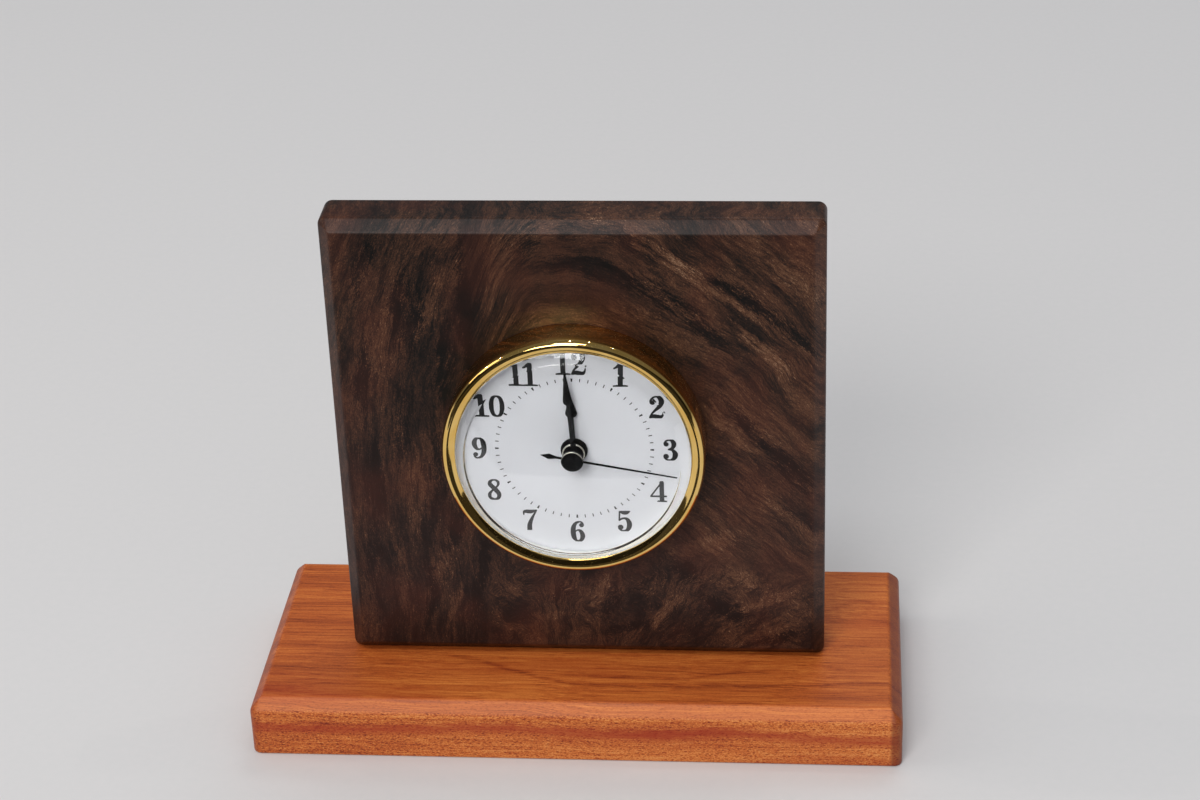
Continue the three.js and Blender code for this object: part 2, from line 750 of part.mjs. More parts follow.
function coilWinding() {
  const half = coilLength / 2 - coilFlange - 2 * seatGap;
  return ring(coilTubeRadius + seatGap, coilRadius - bobbinWall, -half, half, smallSteps);
}

function circuitBoard() {
  const { low, high } = layer("board");
  return box(boardWidth, boardHeight, low, high, board.x, board.y);
}

function quartzCan() {
  const front = layer("board").high + seatGap + quartzRadius;
  const can = rod(quartzRadius, -quartzLength / 2, quartzLength / 2).rotateX(Math.PI / 2);
  return can.translate(board.x + boardWidth / 4, board.y, front);
}

function chip() {
  const low = layer("board").high + seatGap;
  return rod(chipRadius, low, low + chipHeight, new THREE.Vector2(board.x - boardWidth / 4, board.y));
}

// Wheels of the running train
function rotorWheel() {
  const { low, high } = layer("rotorPinion");
  const bridge = layer("bridge");
  const magnetFace = layer("magnet").high;
  const frontPivot = rod(pivotRadius, magnetFace - seatGap, bridge.high, centre);
  const backPivot = rod(pivotRadius, roomBack - socketDepth + seatGap, low + seatGap, centre);
  const pinion = toothed(rotorTeeth, rotorModule, rotorPhase, { low, high });
  return build([pinion, frontPivot, backPivot, rod(pivotRadius, low, bridge.low)]);
}

function rotorMagnet() {
  const { low, high } = layer("magnet");
  return ring(pivotRadius + seatGap / 2, magnetRadius, low + seatGap, high, smallSteps);
}

function fifthWheel() {
  const bridge = layer("bridge");
  const arbor = rod(pivotRadius, roomBack - socketDepth + seatGap, bridge.high);
  const wheel = toothed(fifthTeeth.wheel, rotorModule, 0, layer("fifthWheel"));
  const pinion = toothed(fifthTeeth.pinion, fifthModule, fifthPinionPhase, layer("fifthPinion"));
  return build([wheel, pinion, arbor]);
}

function secondWheel() {
  const tubeTop = secondHandTop - handThickness - 2 * seatGap;
  const arbor = rod(secondArborRadius, roomBack - socketDepth + seatGap, tubeTop);
  const wheel = toothed(secondTeeth.wheel, fifthModule, 0, layer("secondWheel"));
  const pinion = toothed(secondTeeth.pinion, thirdModule, 0, layer("secondPinion"));
  return build([arbor, wheel, pinion]);
}

function thirdWheel() {
  const arbor = rod(pivotRadius, layer("bridge").low, roomFront + socketDepth - seatGap);
  const wheel = toothed(thirdTeeth.wheel, thirdModule, thirdWheelPhase, layer("thirdWheel"));
  const pinion = toothed(thirdTeeth.pinion, trainModule, 0, layer("thirdPinion"));
  return build([wheel, pinion, arbor]);
}

function centreWheel() {
  const place = layer("centreWheel");
  const bore = minutePipeRadius + runningGap;
  const hub = rod(bore + hubWidth, place.low, place.high + seatGap);
  const hole = rod(bore, place.low - overrun, place.high + overrun);
  return build([toothed(centreTeeth, trainModule, centrePhase, place), hub], [hole]);
}

// Wheels of the motion work
function minutePipe() {
  const top = minuteHandTop - hubThickness - seatGap;
  const pipe = rod(minutePipeRadius, depthAt(minutePipeEndShare), top);
  const pinion = toothed(cannonTeeth, motionModule, 0, layer("cannonPinion"));
  const bore = rod(secondArborRadius + runningGap, depthAt(minutePipeEndShare) - overrun, top + overrun);
  return build([pipe, pinion], [bore]);
}

function motionWheel() {
  const wheel = toothed(motionTeeth.wheel, motionModule, motionPhase, layer("motionWheel"));
  const pinion = toothed(motionTeeth.pinion, hourModule, 0, layer("motionPinion"));
  const bore = rod(pivotRadius + runningGap, layer("motionWheel").low - overrun, roomFront + overrun);
  return build([wheel, pinion], [bore]);
}

function hourWheel() {
  const place = layer("hourWheel");
  const top = hourHandTop - hubThickness - seatGap;
  const pipe = rod(hourPipeRadius, place.low, top, centre, 2 * smallSteps);
  const bore = rod(minutePipeRadius + runningGap, place.low - overrun, top + overrun);
  return build([toothed(hourTeeth, hourModule, hourPhase, place), pipe], [bore]);
}

// The setting knob: a ribbed button behind the case, its arbor and its pinion
function settingKnob() {
  const high = caseBack - 2 * seatGap;
  const grooves = [];
  for (let rib = 0; rib < knobRibs; rib += 1) {
    const angle = (rib * 360) / knobRibs;
    const place = along(centre, angle, knobRadius);
    grooves.push(rod(knobRibDepth, high - knobHeight - overrun, high + overrun, place, smallSteps / 2));
  }
  const button = rod(knobRadius, high - knobHeight, high, centre, 2 * knobRibs);
  const arbor = rod(settingArborRadius, high - knobHeight / 2, roomFront + socketDepth - seatGap);
  const pinion = toothed(settingTeeth, motionModule, settingPhase, layer("motionWheel"));
  return build([button, arbor, pinion], grooves);
}

// Hands, drawn pointing up to twelve: a shaft, and a blade that swells and runs to a point
function bladeOutline(shaftWidth, bladeWidth, reachShares) {
  const [root, widest, tip] = reachShares.map((share) => share * crystalRadius);
  const [half, broad] = [shaftWidth / 2, bladeWidth / 2];
  const right = [[half, 0], [half, root]];
  for (let step = 1; step <= arcSteps; step += 1) {
    const angle = (step / arcSteps) * (Math.PI / 2);
    right.push([half + (broad - half) * Math.sin(angle), widest - (widest - root) * Math.cos(angle)]);
  }
  const [waistWidthShare, waistPlaceShare] = waistShares;
  right.push([broad * waistWidthShare, widest + (tip - widest) * waistPlaceShare]);
  const left = right.map(([x, y]) => [-x, y]).reverse();
  return polygon([...right, [0, tip], ...left]);
}

function handWithHub(outline, hubRadius, top, boreRadius) {
  const bladeTop = top - (hubThickness - handThickness) / 2;
  const blade = extruded(outline, bladeTop - handThickness, bladeTop);
  const hub = rod(hubRadius, top - hubThickness, top, centre, 2 * smallSteps);
  const bore = rod(boreRadius, top - hubThickness - overrun, top + overrun);
  return build([blade, hub], [bore]);
}

function hourHand() {
  const outline = bladeOutline(hourShaftWidth, hourBladeWidth, hourReachShares);
  return handWithHub(outline, hourHubRadius, hourHandTop, minutePipeRadius + seatGap);
}

function minuteHand() {
  const outline = bladeOutline(minuteShaftWidth, minuteBladeWidth, minuteReachShares);
  return handWithHub(outline, minuteHubRadius, minuteHandTop, secondArborRadius + seatGap);
}

function secondHand() {
  const [half, broad] = [secondShaftWidth / 2, secondTailWidth / 2];
  const [tail, widest, neck, tip] = secondReachShares.map((share) => share * crystalRadius);
  const right = [
    [0, -tail],
    [broad, -widest],
    [half, -neck],
    [half, 0],
    [half / 2, tip],
  ];
  const left = right.slice(1).map(([x, y]) => [-x, y]).reverse();
  const blade = extruded(polygon([...right, ...left]), secondHandTop - handThickness, secondHandTop);
  const tubeRadius = secondArborRadius + hubWidth;
  const tube = rod(tubeRadius, minuteHandTop + handGap, secondHandTop);
  const socket = rod(secondArborRadius + seatGap / 2, minuteHandTop, secondHandTop - handThickness - seatGap);
  return build([blade, tube], [socket]);
}

function secondHandCap() {
  const low = secondHandTop + seatGap;
  return turnedSolid(
    [
      [0, low],
      [capRadius, low],
      [capRadius, capTop - capSkirt],
      [capRadius - capSkirt, capTop],
      [0, capTop],
    ],
    2 * smallSteps,
  );
}

// Scene graph
function piece(name, geometry, look) {
  const mesh = new THREE.Mesh(geometry, new THREE.MeshStandardMaterial(looks[look]));
  mesh.name = name;
  return mesh;
}

function placed(mesh, at) {
  mesh.position.set(at.x, at.y, 0);
  return mesh;
}

function turnedHand(mesh, clockwiseDegrees) {
  mesh.rotation.z = -THREE.MathUtils.degToRad(clockwiseDegrees);
  return mesh;
}

// Lays a piece that was turned round z along x, at the height of the coil or the cell
function laidAlongX(mesh, x, y, z) {
  mesh.rotation.y = Math.PI / 2;
  mesh.position.set(x, y, z);
  return mesh;
}

// A group in which x is to the right, y is up and z comes towards the viewer
function facingViewer(x, y, z) {
  const group = new THREE.Group();
  group.rotation.x = Math.PI / 2;
  group.position.set(x, y, z);
  return group;
}

const plaqueFrontY = -baseDepth / 2 + plaqueSetback;
const boreCentre = new THREE.Vector2(boreOffset, boreHeight);

const clock = new THREE.Group();
clock.add(piece("base", baseBoard(), "padauk"));
screwPlaces().forEach(({ x, y }, index) => {
  const screw = piece(`base_screw_${index + 1}`, woodScrew(), "brass");
  screw.position.set(x, y, screwSink);
  clock.add(screw);
});

const plaqueGroup = facingViewer(plaqueOffset, plaqueFrontY, baseHeight + seatGap);
plaqueGroup.add(piece("plaque", plaqueBoard(), "walnut"));
clock.add(plaqueGroup);

const insert = facingViewer(plaqueOffset + boreOffset, plaqueFrontY, baseHeight + seatGap + boreHeight);
insert.add(piece("bezel", bezel(), "gilt"));
insert.add(piece("crystal", crystal(), "glass"));
insert.add(piece("dial_spacer", dialSpacer(), "dialWhite"));
insert.add(piece("dial", dial(), "dialWhite"));
insert.add(piece("insert_cup", insertCup(), "caseBlack"));
insert.add(piece("grip_ring", gripRing(), "rubber"));
insert.add(piece("movement_front", movementFront(), "caseBlack"));
insert.add(piece("movement_back", movementBack(), "caseBlack"));
insert.add(piece("train_bridge", trainBridge(), "nylon"));
insert.add(piece("contact_plus", contactStrip(1), "steel"));
insert.add(piece("contact_minus", contactStrip(-1), "steel"));
insert.add(laidAlongX(piece("cell", cell(), "cellJacket"), 0, cellY, cellZ));
insert.add(piece("stator", stator(), "steel"));
insert.add(piece("coil_core", coilCore(), "steel"));
const coilZ = (layer("core").low + layer("core").high) / 2;
insert.add(laidAlongX(piece("coil_bobbin", coilBobbin(), "nylon"), coil.x, coil.y, coilZ));
insert.add(laidAlongX(piece("coil_winding", coilWinding(), "copper"), coil.x, coil.y, coilZ));
insert.add(piece("circuit_board", circuitBoard(), "laminate"));
insert.add(piece("quartz_can", quartzCan(), "steel"));
insert.add(piece("chip", chip(), "epoxy"));
insert.add(placed(piece("rotor_pinion", rotorWheel(), "nylon"), rotor));
insert.add(placed(piece("rotor_magnet", rotorMagnet(), "magnet"), rotor));
insert.add(placed(piece("fifth_wheel", fifthWheel(), "nylon"), fifth));
insert.add(piece("second_wheel", secondWheel(), "nylon"));
insert.add(placed(piece("third_wheel", thirdWheel(), "nylon"), third));
insert.add(piece("centre_wheel", centreWheel(), "nylon"));
insert.add(piece("minute_pipe", minutePipe(), "brass"));
insert.add(placed(piece("motion_wheel", motionWheel(), "nylon"), motion));
insert.add(piece("hour_wheel", hourWheel(), "nylon"));
insert.add(placed(piece("setting_knob", settingKnob(), "caseBlack"), setting));
insert.add(turnedHand(piece("hour_hand", hourHand(), "handBlack"), hourHandAngle));
insert.add(turnedHand(piece("minute_hand", minuteHand(), "handBlack"), minuteHandAngle));
insert.add(turnedHand(piece("second_hand", secondHand(), "handBlack"), secondHandAngle));
insert.add(piece("second_hand_cap", secondHandCap(), "handBlack"));
clock.add(insert);

export default clock;
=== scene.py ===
"""Desk clock: a figured walnut plaque on an orange base, with a gilt quartz insert pressed into a bore.

Lengths in the tables are millimetres. The insert's own directions are right, up and out of the plaque.
"""

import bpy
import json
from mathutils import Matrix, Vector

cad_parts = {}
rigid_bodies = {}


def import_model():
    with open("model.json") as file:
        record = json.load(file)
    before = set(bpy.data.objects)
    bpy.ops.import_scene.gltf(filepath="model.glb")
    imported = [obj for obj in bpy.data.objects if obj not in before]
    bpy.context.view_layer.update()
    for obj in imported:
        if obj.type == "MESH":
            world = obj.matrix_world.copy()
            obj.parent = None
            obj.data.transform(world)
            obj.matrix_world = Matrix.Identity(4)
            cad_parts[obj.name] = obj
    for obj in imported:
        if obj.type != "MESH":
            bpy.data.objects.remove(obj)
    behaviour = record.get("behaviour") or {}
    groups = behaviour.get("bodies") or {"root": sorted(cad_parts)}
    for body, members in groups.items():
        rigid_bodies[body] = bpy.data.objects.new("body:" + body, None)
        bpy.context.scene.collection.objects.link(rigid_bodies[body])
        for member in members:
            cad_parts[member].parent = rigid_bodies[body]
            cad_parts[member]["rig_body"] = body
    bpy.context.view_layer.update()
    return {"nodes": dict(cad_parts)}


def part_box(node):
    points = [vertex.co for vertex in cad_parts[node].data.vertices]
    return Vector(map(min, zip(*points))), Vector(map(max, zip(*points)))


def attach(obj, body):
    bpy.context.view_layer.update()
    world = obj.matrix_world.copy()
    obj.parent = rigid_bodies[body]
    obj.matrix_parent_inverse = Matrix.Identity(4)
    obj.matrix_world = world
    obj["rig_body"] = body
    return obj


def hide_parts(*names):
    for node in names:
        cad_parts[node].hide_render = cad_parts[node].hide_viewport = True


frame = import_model()

import json
import math
from functools import partial

import bmesh
import bpy
import numpy as np
from mathutils import Matrix, Vector

bl_info = {
    "name": "Desk clock",
    "version": (1, 0, 0),
    "blender": (4, 5, 0),
    "location": "3D View > Sidebar > Desk clock",
    "description": "Builds a wooden desk clock with a quartz insert round its packed solids",
    "category": "Object",
}

MM = 0.001
BODY_OF = {name: node["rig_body"] for name, node in frame["nodes"].items()}
BEZEL_LOW, BEZEL_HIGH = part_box("bezel")
AXIS_X = (BEZEL_LOW.x + BEZEL_HIGH.x) / 2 / MM
AXIS_Z = (BEZEL_LOW.z + BEZEL_HIGH.z) / 2 / MM
FACE_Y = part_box("plaque")[0].y / MM


def linear(red, green, blue):
    """A colour as Blender's nodes take it, from its values of 0 to 255 on a screen."""
    parts = [value / 255 for value in (red, green, blue)]
    return tuple(v / 12.92 if v <= 0.04045 else ((v + 0.055) / 1.055) ** 2.4 for v in parts)


def seen_box(*names):
    """Lowest and highest corner of some nodes together, in millimetres."""
    corners = [np.array([list(corner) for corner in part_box(name)]) / MM for name in names]
    return np.min([c[0] for c in corners], 0), np.max([c[1] for c in corners], 0)


# Settings that a user may change


def colour(name, description, *screen):
    """A colour setting with its default given as on a screen."""
    return bpy.props.FloatVectorProperty(
        name=name, description=description, subtype="COLOR", size=3, min=0, max=1, default=linear(*screen)
    )


def length(name, description, millimetres):
    """A length setting with its default given in millimetres."""
    return bpy.props.FloatProperty(
        name=name, description=description, unit="LENGTH", subtype="DISTANCE", min=0, default=millimetres * MM
    )


def power(name, description, watts):
    """A lamp's power."""
    return bpy.props.FloatProperty(name=name, description=description, unit="POWER", default=watts)


def share(name, description, default):
    """A setting between 0 and 1."""
    return bpy.props.FloatProperty(
        name=name, description=description, subtype="FACTOR", min=0, max=1, default=default
    )


class ClockWoodSettings(bpy.types.PropertyGroup):
    walnut_dark: colour("Walnut streaks", "Darkest streaks of the plaque", 22, 17, 16)
    walnut_body: colour("Walnut", "Ground colour of the plaque", 46, 30, 23)
    walnut_light: colour("Walnut figure", "Lightest figure of the plaque", 100, 67, 47)
    base_dark: colour("Base grain", "Dark grain lines of the base", 122, 50, 24)
    base_body: colour("Base", "Ground colour of the base", 185, 91, 38)
    base_light: colour("Base figure", "Lightest figure of the base", 219, 128, 58)
    plaque_arris: length("Plaque arris", "How far the plaque's edges are sanded round", 0.9)
    base_arris: length("Base arris", "How far the base's edges are sanded round", 1.1)
    satin: share("Satin", "Roughness of the wax on both woods", 0.42)


class ClockInsertSettings(bpy.types.PropertyGroup):
    gilt: colour("Gilt", "Polished gilding of the bezel", 249, 212, 132)
    dial_white: colour("Dial", "Lacquer of the dial", 230, 229, 234)
    print_black: colour("Print", "Ink of the numerals and ticks", 22, 21, 23)
    numeral_height: length("Numeral height", "Height of the hour numerals", 8.25)
    numeral_radius: length("Numeral radius", "From the hands' axis to the middle of each numeral", 32.65)
    tick_radius: length("Tick radius", "From the hands' axis to the middle of each tick", 26.55)
    tick_length: length("Tick length", "Length of a minute tick", 1.25)
    ridge: length("Hand ridge", "Height of the ridge along each hand's blade", 0.17)


class ClockStageSettings(bpy.types.PropertyGroup):
    floor: colour("Floor", "Colour of the floor", 221, 219, 219)
    key_power: power("Key lamp", "Power of the large lamp", 45)
    fill_power: power("Fill lamp", "Power of the lamp on the left", 9.5)
    top_power: power("Top lamp", "Power of the lamp overhead", 9)
    bulb_power: power("Bulbs", "Power of each small lamp", 0.9)
    sky: share("Room light", "Strength of the light from all round", 0.4)


# Finishes


class Amount:
    """A number that varies over a surface. Arithmetic on it adds Math nodes."""

    def __init__(self, finish, socket):
        self.finish = finish
        self.socket = socket

    def math(self, operation, *others):
        """A Math node of this amount and others."""
        return self.finish.math(operation, self, *others)

    def __add__(self, other):
        return self.math("ADD", other)

    def __sub__(self, other):
        return self.math("SUBTRACT", other)

    def __mul__(self, other):
        return self.math("MULTIPLY", other)

    def __neg__(self):
        return self.math("MULTIPLY", -1)

    def __abs__(self):
        return self.math("ABSOLUTE")

    def __rsub__(self, other):
        return self.finish.math("SUBTRACT", other, self)

    __radd__ = __add__
    __rmul__ = __mul__

    def root(self):
        """The square root."""
        return self.math("SQRT")

    def rise(self, low, high):
        """0 below low and 1 above high, with a smooth step between them; a low above high turns it round."""
        if low > high:
            return 1 - self.rise(high, low)
        settings = {"interpolation_type": "SMOOTHSTEP"}
        inputs = {"Value": self, "From Min": low, "From Max": high}
        node = self.finish.node("ShaderNodeMapRange", settings, inputs)
        return Amount(self.finish, node.outputs["Result"])

    def towards(self, other, part):
        """This amount where part is 0, the other where it is 1."""
        return self + (other - self) * part


class Finish:
    """One procedural material while it is being made. Its axes are the surface's own place in millimetres."""

    def __init__(self, name):
        self.material = bpy.data.materials.new(name)
        self.material.use_nodes = True
        self.tree = self.material.node_tree
        self.tree.nodes.clear()
        self.output = self.node("ShaderNodeOutputMaterial")
        where = self.node("ShaderNodeTexCoord").outputs["Object"]
        scaled = self.node("ShaderNodeVectorMath", {"operation": "SCALE"}, {0: where, "Scale": 1 / MM})
        parts = self.node("ShaderNodeSeparateXYZ", None, {0: scaled.outputs[0]})
        self.axes = [Amount(self, parts.outputs[axis]) for axis in "XYZ"]

    def node(self, kind, settings=None, inputs=None):
        """A node of a kind, with its settings made first and then its sockets filled."""
        node = self.tree.nodes.new(kind)
        for key, value in (settings or {}).items():
            if key == "stops":
                ramp = node.color_ramp
                while len(ramp.elements) < len(value):
                    ramp.elements.new(1)
                for element, (place, tone) in zip(ramp.elements, value):
                    element.position = place
                    element.color = (*tone[:3], 1)
            else:
                setattr(node, key, value)
        for key, value in (inputs or {}).items():
            self.fill(node.inputs[key], value)
        return node

    def fill(self, socket, value):
        """Gives a socket a value or a link."""
        if isinstance(value, Amount):
            value = value.socket
        if isinstance(value, bpy.types.NodeSocket):
            self.tree.links.new(value, socket)
        elif hasattr(value, "__len__") and socket.type == "RGBA":
            socket.default_value = (*value[:3], 1)
        else:
            socket.default_value = value

    def math(self, operation, *terms):
        """A Math node of some amounts and numbers."""
        node = self.node("ShaderNodeMath", {"operation": operation}, dict(enumerate(terms)))
        return Amount(self, node.outputs[0])

    def at(self, x, y, z):
        """Three coordinates as one vector."""
        return self.node("ShaderNodeCombineXYZ", None, {"X": x, "Y": y, "Z": z}).outputs[0]

    def noise(self, x, y, z, detail=2.0, roughness=0.5):
        """Cloudy noise about 0.5, one cloud for each unit of the three coordinates."""
        inputs = {"Vector": self.at(x, y, z), "Scale": 1, "Detail": detail, "Roughness": roughness}
        return Amount(self, self.node("ShaderNodeTexNoise", None, inputs).outputs["Fac"])

    def clouds(self, each_millimetre, detail=2.0, roughness=0.5):
        """Cloudy noise with as many clouds to the millimetre, the same in all directions."""
        return self.noise(*[axis * each_millimetre for axis in self.axes], detail, roughness)

    def cells(self, x, y, z):
        """Distance to the nearest of scattered points, one for each unit cube of the three coordinates."""
        inputs = {"Vector": self.at(x, y, z), "Scale": 1}
        return Amount(self, self.node("ShaderNodeTexVoronoi", None, inputs).outputs["Distance"])

    def ramp(self, amount, *stops):
        """A colour for each amount, from stops of (amount, colour)."""
        return self.node("ShaderNodeValToRGB", {"stops": stops}, {"Fac": amount}).outputs["Color"]

    def blend(self, first, second, part):
        """One colour towards another, by a part of 0 to 1."""
        node = self.node("ShaderNodeMix", {"data_type": "RGBA"})
        chosen = {s.name: s for s in node.inputs if s.enabled}
        for name, value in (("Factor", part), ("A", first), ("B", second)):
            self.fill(chosen[name], value)
        return next(s for s in node.outputs if s.enabled)

    def bump(self, height, distance, strength=0.5):
        """A normal from a height of 0 to 1, which stands for a distance in millimetres."""
        inputs = {"Height": height, "Distance": distance * MM, "Strength": strength}
        return self.node("ShaderNodeBump", None, inputs).outputs["Normal"]

    def surface(self, **inputs):
        """Ends the material in one Principled shader."""
        named = {name.replace("_", " "): value for name, value in inputs.items()}
        shader = self.node("ShaderNodeBsdfPrincipled", None, named)
        self.tree.links.new(shader.outputs[0], self.output.inputs["Surface"])
        return self.material


FINISHES = {}


def finish(name):
    """The material of a name, made once."""
    if name not in FINISHES:
        FINISHES[name] = MAKERS[name]()
    return FINISHES[name]


# Streaks and patches of the plaque's figure: right, up (from the hands' axis), half length, half width,
# degrees from level, and how much lighter or darker
WALNUT_PATCHES = [
    (-35.5, 50, 30, 2.2, 90, -0.30), (-36, 0, 22, 1.8, 91, -0.22), (-14, 73, 9, 4.6, 66, -0.34),
    (10, 64, 18, 4.4, -16, -0.30), (28, 57, 14, 3.4, -34, -0.32), (44, 44, 14, 3.0, -45, -0.26),
    (60, 53, 16, 3.0, -41, -0.34), (76, 40, 12, 2.6, -46, -0.30), (28, 71, 16, 2.2, -28, 0.24),
    (48, 57, 15, 1.8, -40, 0.24), (64, 36, 13, 1.8, -48, 0.26), (-24, 68, 8, 3.8, 74, 0.26),
    (-25, 56, 8, 3.0, 60, 0.18), (4, 46, 22, 2.6, 4, 0.10), (76, 62, 10, 3.0, -38, 0.16),
    (56, 10, 14, 2.6, -54, -0.26), (66, -1, 12, 2.0, -52, 0.24), (54, 2, 14, 1.8, -54, 0.18),
    (74, -12, 11, 3.0, -50, -0.30), (62, -22, 12, 1.8, -46, 0.18), (76, -30, 10, 2.4, -38, -0.20),
    (-70, 64, 12, 3.0, 72, -0.26), (-58, 54, 12, 4.0, 74, -0.28), (-72, 26, 15, 3.2, 80, -0.28),
    (-54, 43, 12, 3.6, 72, -0.26), (-44, 30, 15, 3.0, 80, -0.26), (-64, 38, 12, 2.4, 74, 0.16),
    (-48, 52, 10, 2.6, 72, 0.14), (-60, 4, 16, 3.4, 84, -0.22), (-48, -8, 16, 3.0, 88, -0.20),
    (-70, -16, 16, 3.0, 86, -0.18), (-56, -24, 14, 2.6, 88, 0.16), (-74, -48, 16, 3.0, 84, -0.20),
    (-50, -46, 11, 4.0, 82, 0.22), (-64, -56, 14, 2.6, 86, 0.14), (-55, -68, 14, 1.7, 80, -0.30),
    (-35, -54, 17, 2.2, 80, -0.34), (-42, -34, 12, 2.4, 76, -0.22), (-44, -72, 10, 3.2, 84, 0.16),
    (-26, -64, 10, 2.6, 62, 0.22), (38, -54, 6, 4.2, -50, -0.36), (52, -69, 10, 3.6, -32, -0.44),
    (70, -79, 8, 2.6, 20, -0.36), (-8, -62, 7, 3.0, 50, -0.34), (10, -66, 8, 2.6, 62, -0.34),
    (4, -52, 9, 3.0, 20, -0.24), (42, -42, 12, 3.0, 22, 0.26), (24, -58, 7, 3.2, 40, 0.28),
    (30, -70, 8, 2.0, 58, 0.24), (6, -62, 6, 1.8, 66, 0.22), (-14, -72, 9, 1.6, 10, 0.24),
    (60, -56, 8, 2.2, -30, 0.20), (66, -64, 8, 1.8, 24, 0.18), (16, -76, 12, 1.8, 14, -0.22),
]


# Where the plaque's figure changes, in millimetres left of, right of, below and above the hands' axis
SEAM_LEFT, FOOT_BELOW = 33.5, 46
ARCH_LEFT, ARCH_RADIUS, ARCH_SLOPE = 7, 60, 1.15
DROP_RADIUS, DROP_SLOPE = 20, 3
FAN_LEFT, FAN_BELOW, FAN_SCALE = 2, 118, 52
STRIP_LEFT, STRIP_ABOVE = 36, 14
CALM_LEFT, CALM_ABOVE, CALM_TONE = 2, 62, 0.42
FEATHER = {"middle": 0.42, "strength": 3.6, "dark_share": 1.1, "light_share": 0.6}
WALNUT_SHADOW, WALNUT_BROWN, WALNUT_SPARK = linear(14, 11, 10), linear(72, 46, 33), linear(140, 108, 84)
WALNUT_RED = linear(140, 62, 36)


def walnut():
    """Figured walnut: upright grain on the left, arches that fall to the right, crotch figure at the foot."""
    s = bpy.context.scene.clock_wood
    w = Finish("walnut")
    x, y, z = w.axes
    x = x - AXIS_X
    z = z - AXIS_Z
    deep = y * 0.05
    wander = w.noise(x * 0.022, z * 0.022, deep, 2) - 0.5
    wobble = w.noise(x * 0.09, z * 0.09, deep + 7, 3) - 0.5

    # left: fibres rise and lean to the right towards the top
    lifted = (z + 10).math("MAXIMUM", 0)
    left = x - lifted * lifted * 0.0026 + wander * 9 + wobble * 2.4
    left_figure = figure(w, left, z, deep, 0)

    # right: fibres arch over the dial and fall away to the right
    along = x + ARCH_LEFT
    fall = (along * along + ARCH_RADIUS**2).root() * ARCH_SLOPE - ARCH_RADIUS * ARCH_SLOPE
    drop = (along * along + DROP_RADIUS**2).root() * DROP_SLOPE - DROP_RADIUS * DROP_SLOPE
    arch = fall.towards(drop, along.rise(1, -1))
    right = z + arch + wander * 18 + wobble * 4
    right_figure = figure(w, right, along * 1.25, deep, 11)

    # foot: fibres fan out from below and curl a little
    curl = w.noise(x * 0.05, z * 0.05, deep + 3, 3) - 0.5
    fan = w.math("ARCTAN2", x + FAN_LEFT + curl * 16, z + FAN_BELOW + curl * 12)
    reach = ((x + FAN_LEFT) * (x + FAN_LEFT) + (z + FAN_BELOW) * (z + FAN_BELOW)).root()
    foot_figure = figure(w, fan * FAN_SCALE + curl * 9 + wobble * 5, reach * 1.6 + wobble * 7, deep, 23)

    seam = (x + wobble * 5 + SEAM_LEFT).rise(2.2, -2.2)
    low = (z + FOOT_BELOW + (x - 20) * 0.1 + wander * 26).rise(10, -10)
    plain = right_figure.towards(foot_figure, low).towards(left_figure, seam)

    # listed streaks, feathered by the wood's own light and dark
    shifted = (x + wobble * 5, z + wander * 5)
    feather = (plain - FEATHER["middle"]) * FEATHER["strength"]
    tone = plain
    for right_of, above, long, wide, degrees, change in WALNUT_PATCHES:
        cosine, sine = math.cos(math.radians(degrees)), math.sin(math.radians(degrees))
        across = (shifted[0] - right_of) * (-sine / wide) + (shifted[1] - above) * (cosine / wide)
        lengthwise = (shifted[0] - right_of) * (cosine / long) + (shifted[1] - above) * (sine / long)
        edge, part = (feather, FEATHER["dark_share"]) if change < 0 else (-feather, FEATHER["light_share"])
        tone = tone + (across * across + lengthwise * lengthwise + edge).rise(1.5, 0.3) * (change * part)

    beside_seam = (x + wobble * 2 + STRIP_LEFT).rise(-0.4, 0.5) * (x + 34).rise(9, 0)
    strip = beside_seam * (z - STRIP_ABOVE).rise(-12, 10)
    calm = (x + CALM_LEFT) * (x + CALM_LEFT) * 0.0012 + (z - CALM_ABOVE) * (z - CALM_ABOVE) * 0.004
    tone = tone.towards(CALM_TONE, calm.rise(1.3, 0.2) * 0.45) + (tone - 0.44) * low * 0.08
    tone = tone - strip * 0.15 - (x + 20).rise(14, -24) * 0.09 - low * 0.075 + (x - 30).rise(0, 40) * 0.03
    colour_of = w.ramp(
        tone,
        (0.0, WALNUT_SHADOW),
        (0.2, s.walnut_dark),
        (0.42, s.walnut_body),
        (0.62, WALNUT_BROWN),
        (0.82, s.walnut_light),
        (1.0, WALNUT_SPARK),
    )
    warm = w.noise(x * 0.05, z * 0.035, deep + 40, 3).rise(0.4, 0.7)
    lower = (z + 30 - abs(x) * 0.5).rise(30, -30)
    colour_of = w.blend(colour_of, WALNUT_RED, warm * 0.09 + lower * 0.03)
    specks = w.noise(x * 2.4, z * 0.8, y * 1.2, 3)
    shine = s.satin + (specks - 0.5) * 0.16 - (tone - 0.45) * 0.1
    return w.surface(
        Base_Color=colour_of, Roughness=shine, Normal=w.bump(specks, 0.04), Specular_IOR_Level=0.26
    )


